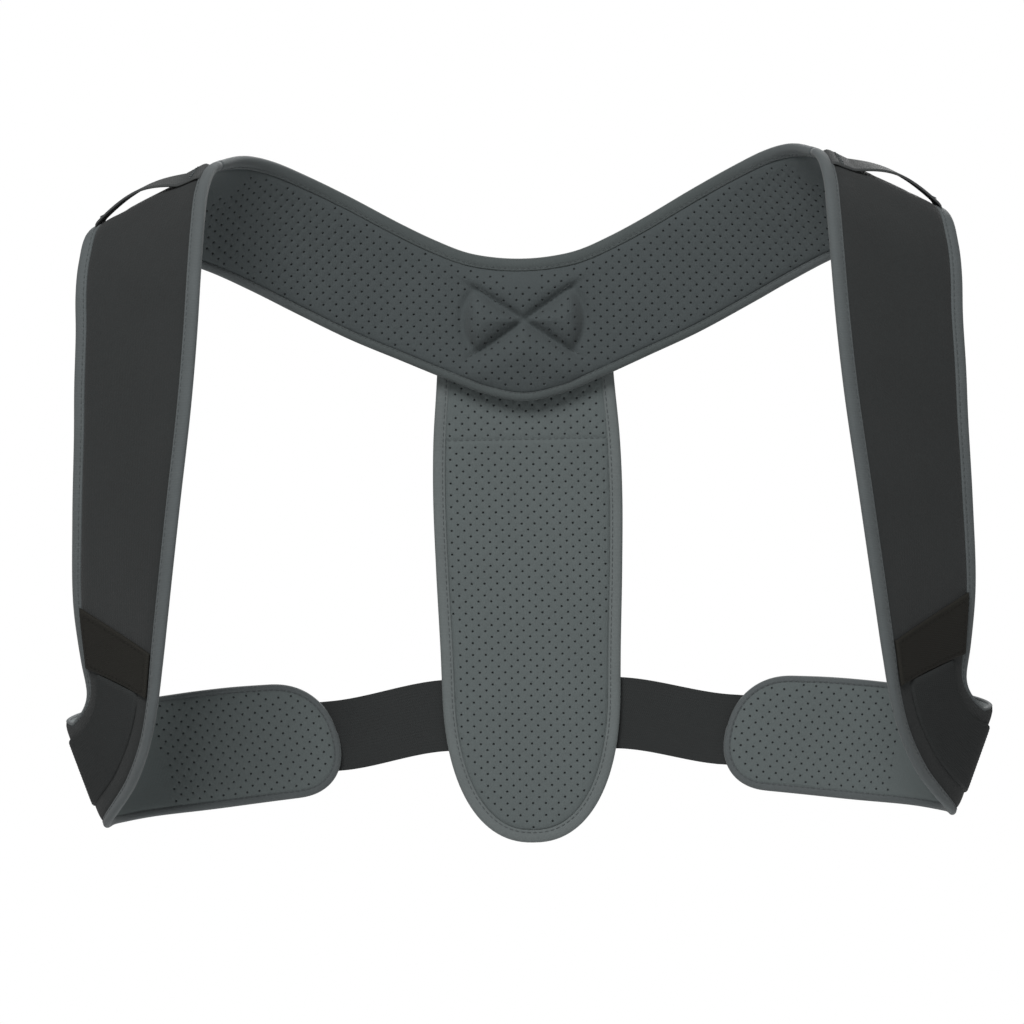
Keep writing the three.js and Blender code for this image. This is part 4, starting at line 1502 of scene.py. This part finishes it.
class BRACE_OT_waist_band(BraceOperator, bpy.types.Operator):
    """Ribbed elastic from one hook strip round behind the spine pad to the other"""

    bl_idname = "mesh.brace_waist_band"
    bl_label = "Waist Band"

    def execute(self, context):
        made = finishes(context.scene)
        points, normals = self.edges()
        draft = Draft()
        profile = ribbed_profile(BAND_WIDTH, BAND_THICKNESS, ribs=24, relief=0.16, edge=2.2)
        row = np.arange(len(points[0]))
        share = np.minimum(row, row[::-1]) / BAND_ROWS
        settle = 0.32 * (1 - smooth(share, 0.35, 0.6)) + 0.3 * (1 - smooth(share, 0, 0.03))
        sweep_strip(draft, points, normals, BAND_IN, profile, settle)
        band = draft.build("waist_elastic", [made["elastic"]])
        self.dress(band, "elastic", "waist_band")
        return {"FINISHED"}

    @staticmethod
    def edges():
        """Both edge lines of the band and their normals, from the left hook strip to the right."""

        def half_share(along):
            gap = surface_point(along, 1.0) - surface_point(along, 0.0)
            return BAND_WIDTH / 2 / np.linalg.norm(gap, axis=-1)

        share = np.linspace(0, 1, BAND_ROWS)
        points, normals = [], []
        depth = BAND_DROP - PAD_TOP
        arrival_x = -float(pad_side(depth)) * 0.9
        for way in (-1, 1):
            across = 0.5 + way * half_share(np.array([TAB]))[0]
            along = mix(tab_edge(across, 1), TIP, share)
            ridden, normal, onward = surface(along, 0.5 + way * half_share(along))
            target, target_normal = pad_place(arrival_x, depth - way * BAND_WIDTH / 2)
            middle, middle_normal = pad_place(0.0, depth - way * BAND_WIDTH / 2)
            target, middle = target.reshape(3), middle.reshape(3)
            target_normal, middle_normal = target_normal.reshape(3), middle_normal.reshape(3)
            start = ridden[-1]
            pull = np.linalg.norm(target - start) / 3
            t = np.linspace(0, 1, 30)[1:, None]
            a, b = start + onward[-1] * pull, target - [pull, 0, 0]
            bezier = (
                (1 - t) ** 3 * start + 3 * (1 - t) ** 2 * t * a + 3 * (1 - t) * t**2 * b + t**3 * target
            )
            lerped = unit(mix(normal[-1], target_normal, t))
            u = np.linspace(0, 1, 12)[1:-1, None]
            points.append(np.vstack([ridden, bezier, mix(target, middle, u), middle]))
            on_pad = unit(mix(target_normal, middle_normal, u))
            normals.append(np.vstack([normal, lerped, on_pad, middle_normal]))
        flip = np.array([-1, 1, 1])
        points = [np.vstack([p, p[-2::-1] * flip]) for p in points]
        normals = [np.vstack([n, n[-2::-1] * flip]) for n in normals]
        return points, normals


class BRACE_OT_hook_strips(BraceOperator, bpy.types.Operator):
    """Skewed strips of hook tape that hold the waist band's ends to the straps"""

    bl_idname = "mesh.brace_hook_strips"
    bl_label = "Hook Strips"

    def execute(self, context):
        made = finishes(context.scene)
        draft = Draft()
        over_tape = 0.6
        inset = BINDING_WIDTH + SEAM_GAP - over_tape
        low, high = (float(riding_line(np.array([TAB]), edge, inset)[0]) for edge in (0, 1))
        border = np.array([0, 0.012, 0.03, 0.055])
        fine = np.concatenate([border, np.linspace(0.09, 0.91, 22), 1 - border[::-1]])
        s, c = np.meshgrid(fine, fine, indexing="ij")
        across = mix(low, high, c)
        along = tab_edge(across, mix(-1, 1, s))
        point, normal, _ = surface(along, across)
        span = STRAP_WIDTH - 2 * inset
        edge = np.minimum(np.minimum(s, 1 - s) * TAB_HEIGHT, np.minimum(c, 1 - c) * span)
        base = STACK + PLY_GAP
        top = base + TAB_THICKNESS * mix(0.45, 1, pillow(edge, 1.3))
        top = top - 0.18 * np.exp(-(((edge - 2.4) / 0.5) ** 2))
        rows, columns = s.shape
        flats = np.stack([s * TAB_HEIGHT, c * span], -1)
        faces = grid_faces(rows, columns)
        upper = draft.add(point + normal * top[..., None], flats, faces)
        lower = draft.add(point + normal * base, flats, faces[:, ::-1])
        index = np.arange(rows * columns).reshape(rows, columns)
        loop = np.concatenate([index[0], index[1:, -1], index[-1, -2::-1], index[-2:0:-1, 0]])
        after = np.roll(loop, -1)
        draft.join(np.stack([upper + loop, lower + loop, lower + after, upper + after], -1))
        self.border_stitches(draft, low, high, base)
        for side, mirror in SIDES:
            strip = draft.build(f"hook_strip_{side}", [made["hook"], made["hook_thread"]], mirror)
            self.dress(strip, "hook_tape", f"hook_tab_{side}")
        return {"FINISHED"}

    @staticmethod
    def border_stitches(draft, low, high, base):
        """One run of stitches round the strip, inside its border."""
        corner = np.array([(-0.83, 0.05), (-0.83, 0.95), (0.83, 0.95), (0.83, 0.05), (-0.83, 0.05)])
        side, share = np.vstack([np.linspace(a, b, 20) for a, b in zip(corner, corner[1:])]).T
        across = mix(low, high, share)
        point, normal, _ = surface(tab_edge(across, side), across)
        rise = base + TAB_THICKNESS - 0.2
        sew(draft, point + normal * rise, normal, HOOK_STITCH, 1)


class BRACE_OT_shoulder_loops(BraceOperator, bpy.types.Operator):
    """Thin elastics arched over the straps where they cross the shoulders"""

    bl_idname = "mesh.brace_shoulder_loops"
    bl_label = "Shoulder Loops"

    def execute(self, context):
        made = finishes(context.scene)
        crossing = float(np.linalg.norm(surface_point(CREST, 1.0) - surface_point(CREST, 0.0)))
        nearest = 0.78 * BINDING_WIDTH / crossing
        share = np.linspace(0, 1, 71)
        across = mix(nearest, 1 - nearest, share)
        along = CREST + mix(KEEPER_FORWARD, 0, smooth(share, 0, 0.7))
        point, normal, onward = surface(along, across)
        lifted = np.maximum(0, (share - KEEPER_FLAT) / (1 - KEEPER_FLAT))
        tucked = 1 - pillow(np.minimum(share, 1 - share), 0.055)
        rise = STACK + PLY_GAP + KEEPER_RISE * np.sin(np.pi * lifted) - 1.5 * tucked
        half = mix(0.5, 0.3, share) * KEEPER_WIDTH
        line = point + normal * rise[:, None]
        edges = [line + onward * (half * way)[:, None] for way in (-1, 1)]
        draft = Draft()
        profile = ribbed_profile(KEEPER_WIDTH, KEEPER_THICKNESS, ribs=8, relief=0.1)
        sweep_strip(draft, edges[::-1], [normal, normal], 0, profile)
        for row in (6, len(share) - 7):
            self.bar_tack(draft, line[row], normal[row], onward[row], half[row], KEEPER_THICKNESS)
        for side, mirror in SIDES:
            loop = draft.build(f"shoulder_loop_{side}", [made["loop"], made["thread"]], mirror)
            self.dress(loop, "keeper_elastic", f"shoulder_keeper_{side}")
        return {"FINISHED"}

    @staticmethod
    def bar_tack(draft, centre, normal, onward, half, height):
        """Close zigzag stitches that hold a loop's end down."""
        over = np.cross(normal, onward)
        t = np.linspace(-0.92, 0.92, 15)
        zigzag = np.where(np.arange(len(t)) % 2, 1.0, -1.0)
        line = centre + np.outer(t * half, onward) + np.outer(zigzag * 1.1, over) + normal * height
        sew(draft, line, np.tile(normal, (len(t), 1)), TACK_STITCH, 1)


class BRACE_OT_stage(bpy.types.Operator):
    """Plain pale floor, camera, soft studio lights and white surroundings"""

    bl_idname = "scene.brace_stage"
    bl_label = "Stage"
    bl_options = {"REGISTER", "UNDO"}

    def execute(self, context):
        self.floor(context.scene)
        self.camera(context.scene)
        self.lights(context.scene)
        return {"FINISHED"}

    @staticmethod
    def floor(scene):
        half, drop = 2.6, -0.95
        mesh = bpy.data.meshes.new("floor")
        corners = [(-half, -half, drop), (half, -half, drop), (half, half, drop), (-half, half, drop)]
        mesh.from_pydata(corners, [], [(0, 1, 2, 3)])
        mesh.materials.append(floor_material())
        floor = bpy.data.objects.new("floor", mesh)
        scene.collection.objects.link(floor)

    @staticmethod
    def camera(scene):
        """The photograph's view: from the front, turned and tipped a little, 1.5 m away."""
        yaw, pitch, roll = np.radians([-1.90733, 0.531448, 1.09509])
        distance, aim_x, aim_z, height = 1.5, -0.00553744, -0.00529415, -0.16
        focal_pixels, frame_pixels, sensor = 2912.3, 1024, 36.0

        def to_world(x, y, z):
            y, z = y * np.cos(pitch) + z * np.sin(pitch), -y * np.sin(pitch) + z * np.cos(pitch)
            x, y = x * np.cos(yaw) + y * np.sin(yaw), -x * np.sin(yaw) + y * np.cos(yaw)
            return Vector((x, y, z))

        right = to_world(np.cos(roll), 0, -np.sin(roll))
        up = to_world(np.sin(roll), 0, np.cos(roll))
        back = right.cross(up)
        place = to_world(aim_x, -distance, aim_z) + Vector((0, 0, height))
        data = bpy.data.cameras.new("camera")
        data.sensor_width = sensor
        data.lens = focal_pixels / frame_pixels * sensor
        data.clip_start, data.clip_end = 0.05, 20
        camera = bpy.data.objects.new("camera", data)
        rotation = Matrix((right, up, back)).transposed().to_4x4()
        camera.matrix_world = Matrix.Translation(place) @ rotation
        scene.collection.objects.link(camera)
        scene.camera = camera

    @staticmethod
    def lights(scene):
        for name, place, size, power in (
            ("key", (-0.35, -1.4, 1.2), 0.8, 33.0),
            ("fill", (0.5, -1.7, 0.0), 1.2, 2.5),
            ("back_light", (0.3, 1.5, 0.9), 1.2, 38.0),
        ):
            data = bpy.data.lights.new(name, "AREA")
            data.shape, data.size, data.energy = "SQUARE", size, power
            light = bpy.data.objects.new(name, data)
            light.location = place
            aim = Vector((0, 0, -0.14)) - Vector(place)
            light.rotation_euler = aim.to_track_quat("-Z", "Y").to_euler()
            scene.collection.objects.link(light)
        world = bpy.data.worlds.new("white_room")
        world.use_nodes = True
        tree = world.node_tree
        shade = tree.nodes["Background"]
        shade.inputs["Color"].default_value = (1, 1, 1, 1)
        path = tree.nodes.new("ShaderNodeLightPath")
        strength = tree.nodes.new("ShaderNodeMix")
        strength.inputs["A"].default_value = 0.2
        strength.inputs["B"].default_value = 1.0
        tree.links.new(path.outputs["Is Camera Ray"], strength.inputs["Factor"])
        tree.links.new(strength.outputs[0], shade.inputs["Strength"])
        scene.world = world
        scene.view_settings.view_transform = "Standard"
        scene.view_settings.look = "None"


class BRACE_PT_panel(bpy.types.Panel):
    """Everything that builds the brace"""

    bl_label = "Shoulder Brace"
    bl_idname = "BRACE_PT_panel"
    bl_space_type = "VIEW_3D"
    bl_region_type = "UI"
    bl_category = "Brace"

    def draw(self, context):
        for group in (context.scene.brace_cloth, context.scene.brace_colours):
            box = self.layout.box()
            for key in type(group).__annotations__:
                box.prop(group, key)
        for operator in OPERATORS:
            self.layout.operator(operator.bl_idname)


OPERATORS = (
    BRACE_OT_yoke,
    BRACE_OT_straps,
    BRACE_OT_tongues,
    BRACE_OT_strap_edges,
    BRACE_OT_spine_pad,
    BRACE_OT_waist_band,
    BRACE_OT_hook_strips,
    BRACE_OT_shoulder_loops,
    BRACE_OT_stage,
)
CLASSES = (BraceCloth, BraceColours, *OPERATORS, BRACE_PT_panel)


def register():
    for each in CLASSES:
        bpy.utils.register_class(each)
    bpy.types.Scene.brace_cloth = PointerProperty(type=BraceCloth)
    bpy.types.Scene.brace_colours = PointerProperty(type=BraceColours)


def unregister():
    del bpy.types.Scene.brace_colours
    del bpy.types.Scene.brace_cloth
    for each in reversed(CLASSES):
        bpy.utils.unregister_class(each)


def main():
    register()
    for operator in OPERATORS:
        group, name = operator.bl_idname.split(".")
        getattr(getattr(bpy.ops, group), name)()


if __name__ == "__main__":
    main()
